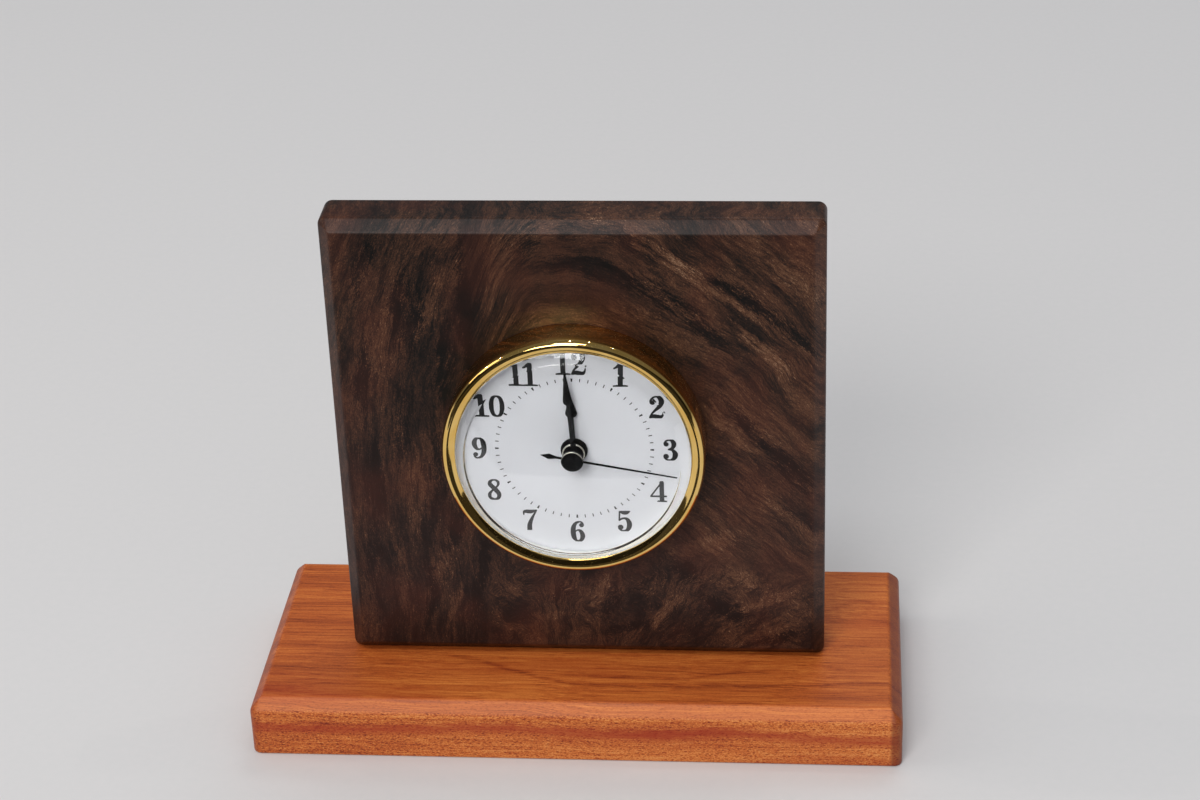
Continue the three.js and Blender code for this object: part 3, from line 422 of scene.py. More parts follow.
def figure(w, across, along, deep, seed):
    """Light and dark of straight wood: bands, streaks, lines, fibres, fine grain, flecks and dark pores."""
    bands = w.noise(across * 0.09, along * 0.03, deep + seed, 3, 0.6).rise(0.4, 0.56)
    streaks = w.noise(across * 0.3, along * 0.05, deep * 2 + seed, 3, 0.62).rise(0.38, 0.55)
    lines = w.noise(across * 0.85, along * 0.08, deep * 4 + seed + 3, 2, 0.6).rise(0.32, 0.47)
    fibres = w.noise(across * 2.0, along * 0.36, deep * 8 + seed, 3, 0.7)
    grain = w.noise(across * 4.4, along * 2.0, deep * 24 + seed, 2, 0.7)
    tone = bands * 0.2 + streaks * 0.17 + lines * 0.16 + fibres * 0.66 + grain * 0.95 - 0.71
    flecks = w.cells(across * 1.3, along * 0.5, deep * 9 + seed).rise(0.27, 0.1)
    pores = w.cells(across * 1.1, along * 0.3, deep * 9 + seed + 5).rise(0.24, 0.1)
    return tone + flecks * 0.22 - pores * 0.2


# Places on the base in millimetres: its front face, the middle of its front slope, its ends and the red band
BASE_FRONT_Y, SLOPE_Y, SLOPE_Z, BASE_END_X, RED_BAND_Z = 47.6, 48.3, 22.3, 110.1, 12
# The two dark lines on top: how far in front of the axis each starts
FIRST_LINE_Y, SECOND_LINE_Y = 15.6, 27.2
BASE_SHADOW, BASE_SPARK = linear(78, 30, 14), linear(236, 160, 88)
# The second of these is a pale gold painted on the front slope as a sheen
BASE_RED, SLOPE_PAINTED_SHEEN, BASE_END = linear(156, 44, 20), linear(240, 140, 72), linear(96, 30, 18)


def orange_wood():
    """Orange wood of the base: straight grain, two dark lines on top and a stippled, banded front, with
    painted light: the front face and its slope are lifted lighter and the slope takes a painted pale gold
    sheen.
    """
    s = bpy.context.scene.clock_wood
    w = Finish("orange_wood")
    x, y, z = w.axes
    bend = w.noise(x * 0.009, y * 0.012, z * 0.02, 2) - 0.5
    ripple = w.noise(x * 0.04, y * 0.07, z * 0.09, 2) - 0.5
    level = y * 0.9 + z * 0.6 + bend * 15 + ripple * 1.4
    cross = z * 0.9 - y * 0.5 + bend * 9
    bands = w.noise(x * 0.006, level * 0.13, cross * 0.12, 3)
    lines = w.noise(x * 0.012, level * 0.8, cross * 0.8, 3, 0.62)
    threads = w.noise(x * 0.03, level * 2.8, cross * 2.8, 2, 0.6)
    short_cuts = w.noise(x * 0.42, y * 3.0, z * 3.4, 1)
    front = (y + BASE_FRONT_Y).rise(0.5, -0.4)
    slope = (y + SLOPE_Y - z + SLOPE_Z).rise(4.9, 4.2) * (1 - front)
    mottle = w.noise(x * 1.5, y * 1.8, z * 2.9, 3, 0.72)
    coarse = w.noise(x * 0.22, y * 0.4, z * 1.1, 2, 0.6)
    straight = (bands - 0.5) * 0.6 + (lines - 0.5) * 0.6 + (threads - 0.5) * 0.7 + 0.55
    tone = straight - x.rise(-40, -95) * 0.07
    tone = tone + (mottle - 0.5) * (front * 1.5 + 0.35) + (coarse - 0.5) * (front * 0.4)

    # dark lines of late wood on the top: places that sink and rise along the board
    first = FIRST_LINE_Y + x.rise(-54, 4) * 18 - x.rise(40, 112) * 3.8 + ripple * 3
    second = SECOND_LINE_Y + x.rise(-10, 30) * 2.4 - x.rise(28, 64) * 6 + ripple * 3
    first_line = abs(y + first).rise(2.0, 0.1) * x.rise(-56, -44)
    second_line = abs(y + second).rise(1.5, 0.1) * x.rise(-12, 0) * x.rise(70, 58)
    broken = w.noise(x * 0.12, y * 1.4, z, 2).rise(0.3, 0.6)
    late = (first_line * 0.22 + second_line * 0.16) * broken * (1 - front)
    pores = w.cells(x * 0.1, level * 2.0, cross * 2.0).rise(0.3, 0.1) * (1 - front)
    stipple = w.cells(x * 0.6, y * 1.8, z * 1.9).rise(0.42, 0.2) * (front + slope * 0.7)
    cut_depth = pores * 0.2 + stipple * 0.4 + short_cuts.rise(0.68, 0.74) * (0.1 + front * 0.2 + slope * 0.3)
    # The front and slope terms lift those faces lighter: painted light where the lamps fall brightest
    tone = tone - cut_depth - late + front * 0.16 + slope * 0.06
    figured = ((0.22, s.base_dark), (0.5, s.base_body), (0.78, s.base_light))
    colour_of = w.ramp(tone, (0.0, BASE_SHADOW), *figured, (1.0, BASE_SPARK))
    red_line = z - RED_BAND_Z + (w.noise(x * 0.014, 3, 0, 1) - 0.5) * 7 + ripple * 3
    red_band = abs(red_line + (coarse - 0.5) * 4).rise(3.4, 0.2) * front
    red_band = red_band * (mottle.rise(0.25, 0.7) * 0.5 + 0.5)
    red_zone = w.noise(x * 0.011, y * 0.05, z * 0.07 + 9, 2).rise(0.54, 0.7)
    near_left = x.rise(-36, -60) * abs(y + 41).rise(6, 2) * (1 - front)
    reddened = red_band * 0.6 + red_zone * 0.2 + near_left * 0.25 + front * 0.2
    colour_of = w.blend(colour_of, BASE_RED, reddened)
    # The slope blended towards pale gold: a painted sheen
    colour_of = w.blend(colour_of, SLOPE_PAINTED_SHEEN, slope * 0.4)
    ends = (x - BASE_END_X).rise(-0.3, 1.2) + (x + BASE_END_X).rise(0.3, -3.5) * 0.5
    colour_of = w.blend(colour_of, BASE_END, ends * (0.6 + (mottle - 0.5) * 0.9))
    shine = s.satin + (lines - 0.5) * 0.12 + cut_depth * 0.3 + front * 0.08
    normal = w.bump(mottle * front * 0.5 - cut_depth, 0.06)
    return w.surface(Base_Color=colour_of, Roughness=shine, Normal=normal, Specular_IOR_Level=0.3)


def gilt():
    """Polished gilding with the faint ripple and hairlines of a spun brass rim."""
    s = bpy.context.scene.clock_insert
    g = Finish("gilt")
    x, y, z = g.axes
    round_rim = g.math("ARCTAN2", x - AXIS_X, z - AXIS_Z) * 45
    hairs = g.noise(round_rim * 0.02, y * 16, 0, 3, 0.7)
    cloud = g.noise(x * 0.08, y * 0.4, z * 0.08, 2)
    tone = g.blend(s.gilt, linear(240, 194, 104), cloud.rise(0.3, 0.75))
    dust = g.cells(x * 1.5, y * 1.5, z * 1.5).rise(0.14, 0.05)
    shine = 0.035 + hairs * 0.045 + dust * 0.4
    normal = g.bump(g.noise(x * 0.22, y * 0.5, z * 0.22, 2), 0.012)
    return g.surface(Base_Color=tone, Metallic=1.0, Roughness=shine, Normal=normal)


def crystal_glass():
    """Clear mineral glass that lets lamp light through to the dial."""
    g = Finish("crystal_glass")
    smear = g.clouds(0.09, 3)
    inputs = {
        "Base Color": linear(250, 252, 253),
        "Roughness": smear.rise(0.5, 0.8) * 0.012,
        "IOR": 1.5,
        "Transmission Weight": 1.0,
    }
    clear = g.node("ShaderNodeBsdfPrincipled", None, inputs)
    passing = g.node("ShaderNodeBsdfTransparent", None, {"Color": linear(246, 248, 248)})
    ray = g.node("ShaderNodeLightPath").outputs["Is Shadow Ray"]
    mixed = g.node("ShaderNodeMixShader", None, {0: ray, 1: clear.outputs[0], 2: passing.outputs[0]})
    g.tree.links.new(mixed.outputs[0], g.output.inputs["Surface"])
    return g.material


def dial_lacquer():
    """White lacquer sprayed on a metal disc: a fine orange-peel and the faintest mottle."""
    d = Finish("dial_lacquer")
    mottle = d.clouds(0.2, 3)
    peel = d.clouds(2.2, 2)
    tone = d.blend(bpy.context.scene.clock_insert.dial_white, linear(226, 225, 231), mottle)
    return d.surface(Base_Color=tone, Roughness=0.38 + peel * 0.08, Normal=d.bump(peel, 0.006, 0.4))


def plastic(name, tone, other, grain, low, high, depth):
    """Moulded plastic: a soft mottle in its colour and the fine grain of the mould."""
    p = Finish(name)
    mottle = p.clouds(0.12, 3)
    texture = p.clouds(grain, 3, 0.6)
    mixed = p.blend(tone, other, mottle.rise(0.3, 0.7))
    return p.surface(Base_Color=mixed, Roughness=low + texture * (high - low), Normal=p.bump(texture, depth))


def print_ink():
    """Flat printing ink."""
    tone = tuple(bpy.context.scene.clock_insert.print_black)
    return plastic("print_ink", tone, linear(30, 29, 31), 6.0, 0.3, 0.5, 0.005)


# Pale metal rims on the black hands, partly bare metal and partly painted highlight: radius from the hands'
# axis and height over the plaque
COLLAR_RADIUS, COLLAR_HEIGHT = 3.72, 8.7
CAP_RADIUS, CAP_HEIGHT = 3.7, 14.08


def hand_lacquer():
    """Black gloss lacquer, thinner along scattered hairlines, with pale metal on two round rims: partly bare
    metal, partly a painted highlight kept to the cap's upper half.
    """
    h = Finish("hand_lacquer")
    x, y, z = h.axes
    hairs = h.noise(x * 3, y * 0.6, z * 3, 3, 0.7)
    tone = h.blend(linear(9, 9, 10), linear(22, 22, 24), hairs.rise(0.4, 0.8))
    out = FACE_Y - y
    radius = ((x - AXIS_X) * (x - AXIS_X) + (z - AXIS_Z) * (z - AXIS_Z)).root()
    beside = abs(x - AXIS_X).rise(0.9, 1.1)
    above = (z - AXIS_Z).rise(0.0, 3.0)
    collar = abs(radius - COLLAR_RADIUS).rise(0.24, 0.18) * abs(out - COLLAR_HEIGHT).rise(0.3, 0.24) * beside
    # The cap's pale rim only on its upper half, where the glint falls: a painted highlight
    cap = abs(radius - CAP_RADIUS).rise(0.2, 0.14) * abs(out - CAP_HEIGHT).rise(0.2, 0.12) * above
    bare = (collar * 0.8 + cap * 0.7) * (1 - hairs.rise(0.45, 0.7) * 0.6)
    tone = h.blend(tone, linear(226, 220, 208), bare)
    rough = 0.14 + hairs * 0.12 + bare * 0.2
    normal = h.bump(hairs, 0.004, 0.4)
    return h.surface(Base_Color=tone, Metallic=bare, Roughness=rough, Specular_IOR_Level=0.35, Normal=normal)


def metal(name, tone, other, low, high, stretch=(0.1, 2.5, 2.5)):
    """Worked metal: scratches drawn out along one direction and a cloudy tarnish."""
    m = Finish(name)
    lines = m.noise(*[axis * scale for axis, scale in zip(m.axes, stretch)], 3, 0.65)
    mixed = m.blend(tone, other, m.clouds(0.15, 3).rise(0.35, 0.75))
    rough = low + (high - low) * lines
    return m.surface(Base_Color=mixed, Metallic=1.0, Roughness=rough, Normal=m.bump(lines, 0.012, 0.4))


def copper():
    """Enamelled copper wire, browner where the enamel is thick."""
    c = Finish("copper")
    x, y, z = c.axes
    turns = c.noise(x * 6, y * 0.4, z * 0.4, 2)
    tone = c.blend(linear(190, 96, 48), linear(142, 62, 30), turns.rise(0.35, 0.7))
    return c.surface(Base_Color=tone, Metallic=0.85, Roughness=0.25 + turns * 0.15, Coat_Weight=0.4)


def laminate():
    """Green circuit board with a faint glass weave and traces."""
    b = Finish("laminate")
    x, y, z = b.axes
    weave = (x * 7).math("SINE") * (z * 7).math("SINE")
    traces = b.noise(x * 0.7, y, z * 0.7, 1).rise(0.5, 0.54)
    tone = b.blend(linear(34, 92, 52), linear(62, 128, 74), traces)
    normal = b.bump(weave * 0.1 + traces * 0.5, 0.03)
    return b.surface(Base_Color=tone, Roughness=0.35 - traces * 0.1, Normal=normal)


def cell_jacket():
    """Shrunk sleeve of the cell: dark, with a coppery band at the plus end, and bare metal at both ends."""
    j = Finish("cell_jacket")
    x = j.axes[0]
    grain = j.clouds(0.8, 3)
    from_plus = (CELL_HIGH[0] - CELL_TOP) - x
    band = from_plus.rise(13.2, 13.0)
    bare = 1 - from_plus.rise(0.9, 1.0) * (x - CELL_LOW[0]).rise(0.9, 1.0)
    tone = j.blend(linear(36, 38, 42), linear(186, 112, 60), band)
    tone = j.blend(tone, linear(205, 204, 200), bare)
    rough = (0.3 + grain * 0.1).towards(0.24 + grain * 0.12, bare)
    metallic = (band * 0.55).towards(1.0 + bare * 0, bare)
    return j.surface(Base_Color=tone, Metallic=metallic, Roughness=rough, Normal=j.bump(grain, 0.01, 0.4))


def floor_paper():
    """Plain pale paper with a barely visible tooth."""
    f = Finish("floor_paper")
    tooth = f.clouds(0.3, 2)
    tone = f.blend(tuple(bpy.context.scene.clock_stage.floor), linear(217, 216, 216), tooth)
    return f.surface(Base_Color=tone, Roughness=0.85 + tooth * 0.05)


def dark_cloth():
    """Dull dark cloth."""
    c = Finish("dark_cloth")
    tone = c.blend(linear(24, 22, 20), linear(36, 33, 30), c.clouds(0.05, 2))
    return c.surface(Base_Color=tone, Roughness=0.95)


MAKERS = {
    maker.__name__: maker
    for maker in (
        walnut, orange_wood, gilt, crystal_glass, dial_lacquer, print_ink, hand_lacquer, copper, laminate,
        cell_jacket, floor_paper, dark_cloth,
    )
}
# Plastics: two tones, grain to the millimetre, least and greatest roughness, depth of the grain
MAKERS |= {
    name: partial(plastic, name, *values)
    for name, values in {
        "spacer_white": (linear(226, 226, 222), linear(214, 214, 212), 1.5, 0.3, 0.42, 0.01),
        "case_black": (linear(27, 27, 29), linear(36, 36, 38), 3.4, 0.38, 0.62, 0.03),
        "nylon": (linear(226, 220, 200), linear(214, 206, 182), 2.4, 0.35, 0.5, 0.012),
        "rubber": (linear(33, 33, 34), linear(24, 24, 26), 5.0, 0.6, 0.8, 0.04),
        "epoxy": (linear(18, 17, 19), linear(28, 26, 27), 1.0, 0.12, 0.25, 0.05),
    }.items()
}
# Metals: two tones, least and greatest roughness, scratches to the millimetre along the three axes
MAKERS |= {
    name: partial(metal, name, *values)
    for name, values in {
        "steel": (linear(198, 198, 196), linear(170, 170, 170), 0.18, 0.42),
        "brass": (linear(214, 176, 96), linear(186, 146, 76), 0.2, 0.4),
        "screw_steel": (linear(176, 172, 160), linear(140, 134, 120), 0.25, 0.5, (1.5, 1.5, 0.2)),
        "magnet": (linear(104, 104, 108), linear(84, 84, 88), 0.3, 0.5, (2, 2, 2)),
    }.items()
}
SLOT_OF = {name: name for name in MAKERS}
SLOT_OF |= {
    "orange_wood": "padauk", "crystal_glass": "glass", "dial_lacquer": "dial_white", "spacer_white": "spacer",
    "print_ink": "hand_black", "hand_lacquer": "hand_black", "screw_steel": "brass", "cell_jacket": "cell",
}


# Surfaces and pieces


def facing(points):
    """Points right of, above and in front of the hands' axis at the plaque's face, put into the clock."""
    right, up, out = np.moveaxis(np.asarray(points, float), -1, 0)
    return np.stack([right + AXIS_X, FACE_Y - out, up + AXIS_Z], -1)


REACH_LIMIT_SHARE = 0.48


def softened(corners, reach, steps, closed=True):
    """Rounds a profile's corners: each is a quadratic curve that leaves its edges at a reach from the corner.

    A corner p between a and c becomes (1-t)^2 a + 2t(1-t) p + t^2 c, for t from 0 to 1. Open ends stay sharp.
    """
    corners = np.asarray(corners, float)
    reach = np.broadcast_to(np.asarray(reach, float), len(corners)).reshape(-1, 1).copy()
    if not closed:
        reach[[0, -1]] = 0
    leaves = []
    for turn in (1, -1):
        edge = np.roll(corners, turn, 0) - corners
        size = np.linalg.norm(edge, axis=1, keepdims=True)
        leaves.append(corners + edge / np.maximum(size, 1e-9) * np.minimum(reach, size * REACH_LIMIT_SHARE))
    before, after = leaves
    t = np.linspace(0, 1, steps)[:, None, None]
    curve = (1 - t) ** 2 * before + 2 * t * (1 - t) * corners + t**2 * after
    curve = curve.transpose(1, 0, 2).reshape(-1, 2)
    kept = np.r_[True, np.linalg.norm(np.diff(curve, axis=0), axis=1) > 1e-7]
    return curve[kept]


def turned(profile, steps):
    """A surface turned round the axis: at angle a, a profile point (r, h) is at (r sin a, r cos a, h)."""
    profile = np.asarray(profile, float)
    angle = np.linspace(0, 2 * np.pi, steps, endpoint=False)
    radius, height = profile[:, :1], profile[:, 1:]
    return np.stack([radius * np.sin(angle), radius * np.cos(angle), height + 0 * angle], -1)


def woven(points, loop=False):
    """Faces of a grid of points whose columns join up, and whose rows do too for a loop.

    A row of equal points is a pole.
    """
    rows, columns = points.shape[:2]
    index = np.arange(rows * columns).reshape(rows, columns)
    poles = np.ptp(points, axis=1).max(axis=1) < 1e-9
    index[poles] = index[poles, :1]
    if loop:
        index = np.vstack([index, index[:1]])
    index = np.hstack([index, index[:, :1]])
    corners = [index[:-1, :-1], index[:-1, 1:], index[1:, 1:], index[1:, :-1]]
    quads = np.stack(corners, -1).reshape(-1, 4)
    used, quads = np.unique(quads, return_inverse=True)
    quads = quads.reshape(-1, 4)
    first, last = quads[:, 0] == quads[:, 1], quads[:, 2] == quads[:, 3]
    faces = quads[~first & ~last].tolist() + quads[first & ~last][:, [0, 2, 3]].tolist()
    faces += quads[last & ~first][:, [0, 1, 2]].tolist()
    return points.reshape(-1, 3)[used], faces


def round_axis(profile, steps, loop=True):
    """A closed profile, or one that ends on the axis, turned round the hands' axis."""
    return woven(facing(turned(profile, steps)), loop)


def poled(rows, first, last):
    """Rows of points between two poles, which are rows whose points are all one."""
    ends = [np.broadcast_to(np.asarray(pole, float), rows[:1].shape) for pole in (first, last)]
    return np.concatenate([ends[0], rows, ends[1]])


def joined(*parts):
    """Several (points, faces) as one."""
    points, faces, count = [], [], 0
    for part_points, part_faces in parts:
        points.append(part_points)
        faces += [[corner + count for corner in face] for face in part_faces]
        count += len(part_points)
    return np.vstack(points), faces


def volume(points, faces):
    """Six times the volume inside the faces, each cut into a fan of triangles."""
    fans = np.array([(f[0], f[k], f[k + 1]) for f in faces for k in range(1, len(f) - 1)])
    a, b, c = (points[fans[:, k]] for k in range(3))
    return np.einsum("ij,ij->", a - points[0], np.cross(b - points[0], c - points[0]))


def smooth(mesh, sharp):
    """Smooth shading, except where faces meet at more than an angle in degrees."""
    mesh.shade_smooth()
    mesh.set_sharp_from_angle(angle=math.radians(sharp))


def new_object(name, shape):
    """An object of (points, faces) in millimetres of the clock, whose faces look outwards."""
    points, faces = shape
    if volume(points, faces) < 0:
        faces = [face[::-1] for face in faces]
    mesh = bpy.data.meshes.new(name)
    mesh.from_pydata((points * MM).tolist(), [], faces)
    return bpy.data.objects.new(name, mesh)


SHARP = 38


def piece(name, shape, body, look, replaced=(), sharp=SHARP):
    """A new piece from (points, faces), smoothly shaded, on a body."""
    item = new_object(name, shape)
    smooth(item.data, sharp)
    return dressed(item, body, look, replaced)


def dressed(item, body, look, replaced=()):
    """Puts an object into the scene with its finish, on its body, in place of the nodes it stands for."""
    if item.name not in bpy.context.scene.collection.objects:
        bpy.context.scene.collection.objects.link(item)
    item.data.materials.clear()
    item.data.materials.append(finish(look))
    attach(item, body)
    if replaced:
        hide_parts(*replaced)
    return item


FLAT_ANGLE, EDGE_ANGLE, CORNER_ANGLE = math.radians(0.6), math.radians(40), 30


def edged_copy(node, look, width):
    """A node's own solid with its flat faces whole and its edges rounded a little, in place of the node."""
    mesh = bpy.data.meshes.new(node + "_dressed")
    work = bmesh.new()
    work.from_mesh(frame["nodes"][node].data)
    bmesh.ops.remove_doubles(work, verts=work.verts, dist=1e-7)
    everywhere = {"verts": work.verts, "edges": work.edges}
    bmesh.ops.dissolve_limit(work, angle_limit=FLAT_ANGLE, delimit={"NORMAL"}, **everywhere)
    work.to_mesh(mesh)
    work.free()
    smooth(mesh, CORNER_ANGLE)
    item = bpy.data.objects.new(node + "_dressed", mesh)
    bevel = item.modifiers.new("edges", "BEVEL")
    bevel.width = width * MM
    bevel.segments = 2
    bevel.limit_method = "ANGLE"
    bevel.angle_limit = EDGE_ANGLE
    bevel.harden_normals = True
    return dressed(item, BODY_OF[node], look, (node,))


def finish_node(node, look):
    """A node that stays as it is takes a finish in its material slots."""
    item = frame["nodes"][node]
    for slot in item.material_slots:
        slot.material = finish(look)
    if not item.material_slots:
        item.data.materials.append(finish(look))


POINTS_A_SIDE, POINTS_A_CORNER, LEAST_CORNER = 44, 12, 0.05


def rounded_rectangle(half_width, half_height, radius):
    """Points round a rounded rectangle: quarter circles about four centres, and even steps between them."""
    radius = max(radius, LEAST_CORNER)
    centres = np.array([[1, 1], [-1, 1], [-1, -1], [1, -1]]) * [half_width - radius, half_height - radius]
    angles = np.linspace(0, np.pi / 2, POINTS_A_CORNER) + np.arange(4)[:, None] * np.pi / 2
    arcs = centres[:, None] + radius * np.stack([np.cos(angles), np.sin(angles)], -1)
    t = np.linspace(0, 1, POINTS_A_SIDE + 2)[None, 1:-1, None]
    sides = arcs[:, -1:] * (1 - t) + np.roll(arcs, -1, 0)[:, :1] * t
    return np.concatenate([arcs, sides], 1).reshape(-1, 2)


def board_rows(half_width, half_height, corner, edge_profile):
    """Outlines of a board, one for each (inset, depth) of a profile across its edge."""
    rows = []
    for inset, depth in edge_profile:
        outline = rounded_rectangle(half_width - inset, half_height - inset, corner - inset)
        rows.append(np.column_stack([outline, np.full(len(outline), depth)]))
    return np.array(rows)


# Wooden pieces

PLAQUE_LOW, PLAQUE_HIGH = seen_box("plaque")
BASE_LOW, BASE_HIGH = seen_box("base")
PLAQUE_CHAMFER = 4.1
BASE_CHAMFER = 4.4
BOARD_CORNER = 3.0
BORE_RADIUS = 40.0
BORE_ARRIS = 0.5
INWARD, OUTWARD, BASE_INWARD = 30, 70, 40
SCREW_HEAD, SCREW_LENGTH, SCREW_SINK = 4.1, 38.0, 1.0
WELL_RADIUS, WELL_NECK, WELL_CONE, WELL_DEPTH = 4.35, 2.25, 3, 30


def plaque_shape():
    """The plaque as one closed surface: front, chamfer, edge, back and bore wall are rows of points round it.

    A row of the outline lies against a row of the bore's circle in the same directions from its centre.
    """
    size = PLAQUE_HIGH - PLAQUE_LOW
    middle = (PLAQUE_HIGH + PLAQUE_LOW) / 2
    arris = bpy.context.scene.clock_wood.plaque_arris / MM
    corners = [(INWARD, 0), (PLAQUE_CHAMFER, 0), (0, PLAQUE_CHAMFER), (0, size[1]), (INWARD, size[1])]
    edge = softened(corners, [0, arris, arris, arris * 1.4, 0], 7, closed=False)[1:-1]
    rows = board_rows(size[0] / 2, size[2] / 2, BOARD_CORNER, edge) + [middle[0], middle[2], 0]
    outer = rows[0, :, :2] - [AXIS_X, AXIS_Z]
    ring = outer / np.linalg.norm(outer, axis=1, keepdims=True)
    bore_corners = [(OUTWARD, 0), (BORE_RADIUS, 0), (BORE_RADIUS, size[1]), (OUTWARD, size[1])]
    bore = softened(bore_corners, BORE_ARRIS, 5, closed=False)[-2:0:-1, None]
    circles = bore[..., :1] * ring + [AXIS_X, AXIS_Z]
    depths = np.broadcast_to(bore[..., 1:], (*circles.shape[:2], 1))
    points = np.concatenate([rows, np.concatenate([circles, depths], -1)])
    return woven(np.stack([points[..., 0], PLAQUE_LOW[1] + points[..., 2], points[..., 1]], -1), loop=True)


def base_shape():
    """The base as rows of outlines from its underside to its top, closed by poles at both."""
    size = BASE_HIGH - BASE_LOW
    middle = (BASE_LOW + BASE_HIGH) / 2
    arris = bpy.context.scene.clock_wood.base_arris / MM
    top, slope_foot = size[2], size[2] - BASE_CHAMFER
    corners = [(BASE_INWARD, 0), (0, 0), (0, slope_foot), (BASE_CHAMFER, top), (BASE_INWARD, top)]
    edge = softened(corners, [0, arris, arris * 1.3, arris, 0], 7, closed=False)
    rows = board_rows(size[0] / 2, size[1] / 2, BOARD_CORNER, edge)
    return woven(poled(rows, (0, 0, 0), (0, 0, top)) + [middle[0], middle[1], 0])


def screw_cutter(place):
    """Well and countersink that a screw's head sits in, turned round an upright axis."""
    cone_top = SCREW_SINK + WELL_CONE
    well = [(0, -3), (WELL_RADIUS, -3), (WELL_RADIUS, SCREW_SINK - 0.1)]
    neck = [(WELL_NECK, cone_top), (WELL_NECK, WELL_DEPTH), (0, WELL_DEPTH)]
    return woven(turned(well + neck, 64) + [*place, 0])


THREAD = {
    "pitch": 1.9, "core": 1.75, "thinner": 0.45, "ridge": 0.75,
    "start": 3.2, "full": 10, "run_in": 3, "tip": 6,
}


def screw_shape(place):
    """A countersunk screw: a dished head and a shank whose radius swells along a rising helix.

    Along the thread the radius is the core plus a ridge, which is the power of a cosine of turns less angle.
    """
    core, start = THREAD["core"], THREAD["start"]
    head = [(0, 0.35), (2.6, 0.35), (SCREW_HEAD, 0), (SCREW_HEAD, 0.5), (core, 3.0)]
    angle = np.linspace(0, 2 * np.pi, 48, endpoint=False)
    height = np.linspace(start, SCREW_LENGTH, 330)[:, None]
    turns = (height / THREAD["pitch"] - angle / (2 * np.pi)) * np.pi
    taper = np.clip((SCREW_LENGTH - height) / THREAD["tip"], 0, 1)
    swell = np.clip((height - THREAD["full"]) / THREAD["run_in"], 0, 1)
    ridge = THREAD["ridge"] * swell * np.clip(taper * 1.4, 0, 1) * np.abs(np.cos(turns)) ** 6
    radius = (core - THREAD["thinner"] * swell) * taper + ridge
    radius[-1] = 0
    shank = np.stack([radius * np.sin(angle), radius * np.cos(angle), height + 0 * angle], -1)
    points = np.concatenate([turned(softened(head, 0.2, 4, closed=False), 48), shank])
    return woven(points + [*place, SCREW_SINK])


def slot_cutter(place):
    """A bar across the screw's head: rows of a rectangle's corners, closed by poles at both ends."""
    half_long, half_wide, over, depth = 6, 0.5, -2, SCREW_SINK + 1.2
    loop = [(-half_wide, over), (half_wide, over), (half_wide, depth), (-half_wide, depth)]
    rows = np.array([[(end, *corner) for corner in loop] for end in (-half_long, half_long)])
    middle = (0, (over + depth) / 2)
    return woven(poled(rows, (-half_long, *middle), (half_long, *middle)) + [*place, 0])


def cut(item, shapes):
    """Takes shapes out of a piece and leaves the plain mesh."""
    tools = [new_object(f"cutter_{number}", shape) for number, shape in enumerate(shapes)]
    for tool in tools:
        bpy.context.scene.collection.objects.link(tool)
        change = item.modifiers.new("cut", "BOOLEAN")
        change.object = tool
        change.operation = "DIFFERENCE"
        change.solver = "EXACT"
    bpy.context.view_layer.update()
    result = bpy.data.meshes.new_from_object(item.evaluated_get(bpy.context.evaluated_depsgraph_get()))
    item.modifiers.clear()
    item.data = result
    smooth(result, SHARP)
    for tool in tools:
        bpy.data.objects.remove(tool)


class ClockPlaque(bpy.types.Operator):
    """Builds the walnut plaque with its bore, chamfer and sanded edges"""

    bl_idname = "clock.plaque"
    bl_label = "Plaque"

    def execute(self, context):
        piece("plaque_board", plaque_shape(), "woodwork", "walnut", ("plaque",))
        return {"FINISHED"}


class ClockBase(bpy.types.Operator):
    """Builds the base board and the two screws sunk into its underside"""

    bl_idname = "clock.base"
    bl_label = "Base"

    def execute(self, context):
        board = piece("base_board", base_shape(), "woodwork", "orange_wood", ("base",))
        places = []
        for name in ("base_screw_1", "base_screw_2"):
            low, high = seen_box(name)
            places.append((low + high)[:2] / 2)
            screw = piece(name + "_turned", screw_shape(places[-1]), "woodwork", "screw_steel", (name,))
            cut(screw, [slot_cutter(places[-1])])
        cut(board, [screw_cutter(place) for place in places])
        return {"FINISHED"}


# Bezel, crystal and dial

# Profiles turned round the hands' axis: radius and height over the plaque
BEZEL_SHOULDER = {"outer": 45.0, "across": 2.0, "along": 3.5, "crest": 13.1}
BEZEL_INSIDE = [
    (42.4, 13.1), (40.2, 12.0), (40.2, 11.4), (43.8, 11.4), (43.8, 3.1), (42.8, 3.1), (42.8, 0.2),
    (45.0, 0.2), (45.0, 5.0),
]
CRYSTAL_OUTER = [(0.0, 16.2), (37.0, 14.7), (40.0, 12.0), (40.0, 11.2), (43.6, 11.2)]
CRYSTAL_INNER = [(43.6, 10.5), (39.72, 10.5), (36.5, 13.4), (0.0, 14.9)]
OUTER_DOME, INNER_DOME = (36.6, 14.72, 16.2), (36.1, 13.42, 14.9)
DOME_MARGIN, SHOULDER_POINTS = 0.05, 26
DIAL_PROFILE = [(43.6, 4.7), (43.6, 5.1), (3.8, 5.1), (3.8, 4.7)]
SPACER_PROFILE = [(43.6, 5.3), (43.6, 10.3), (40.4, 10.3), (40.4, 5.3)]


def bezel_profile():
    """Section of the bezel: a quarter ellipse from wall to level crest, then slope, lip and hollow."""
    s = BEZEL_SHOULDER
    turn = np.linspace(0, np.pi / 2, SHOULDER_POINTS)
    radius = s["outer"] - s["across"] * (1 - np.cos(turn))
    height = s["crest"] - s["along"] * (1 - np.sin(turn))
    inside = softened(BEZEL_INSIDE, 0.12, 5, closed=False)
    return np.vstack([np.column_stack([radius, height]), inside])


class ClockBezel(bpy.types.Operator):
    """Turns the gilt bezel"""

    bl_idname = "clock.bezel"
    bl_label = "Bezel"

    def execute(self, context):
        piece("bezel_turned", round_axis(bezel_profile(), 320), "insert", "gilt", ("bezel",), sharp=50)
        return {"FINISHED"}


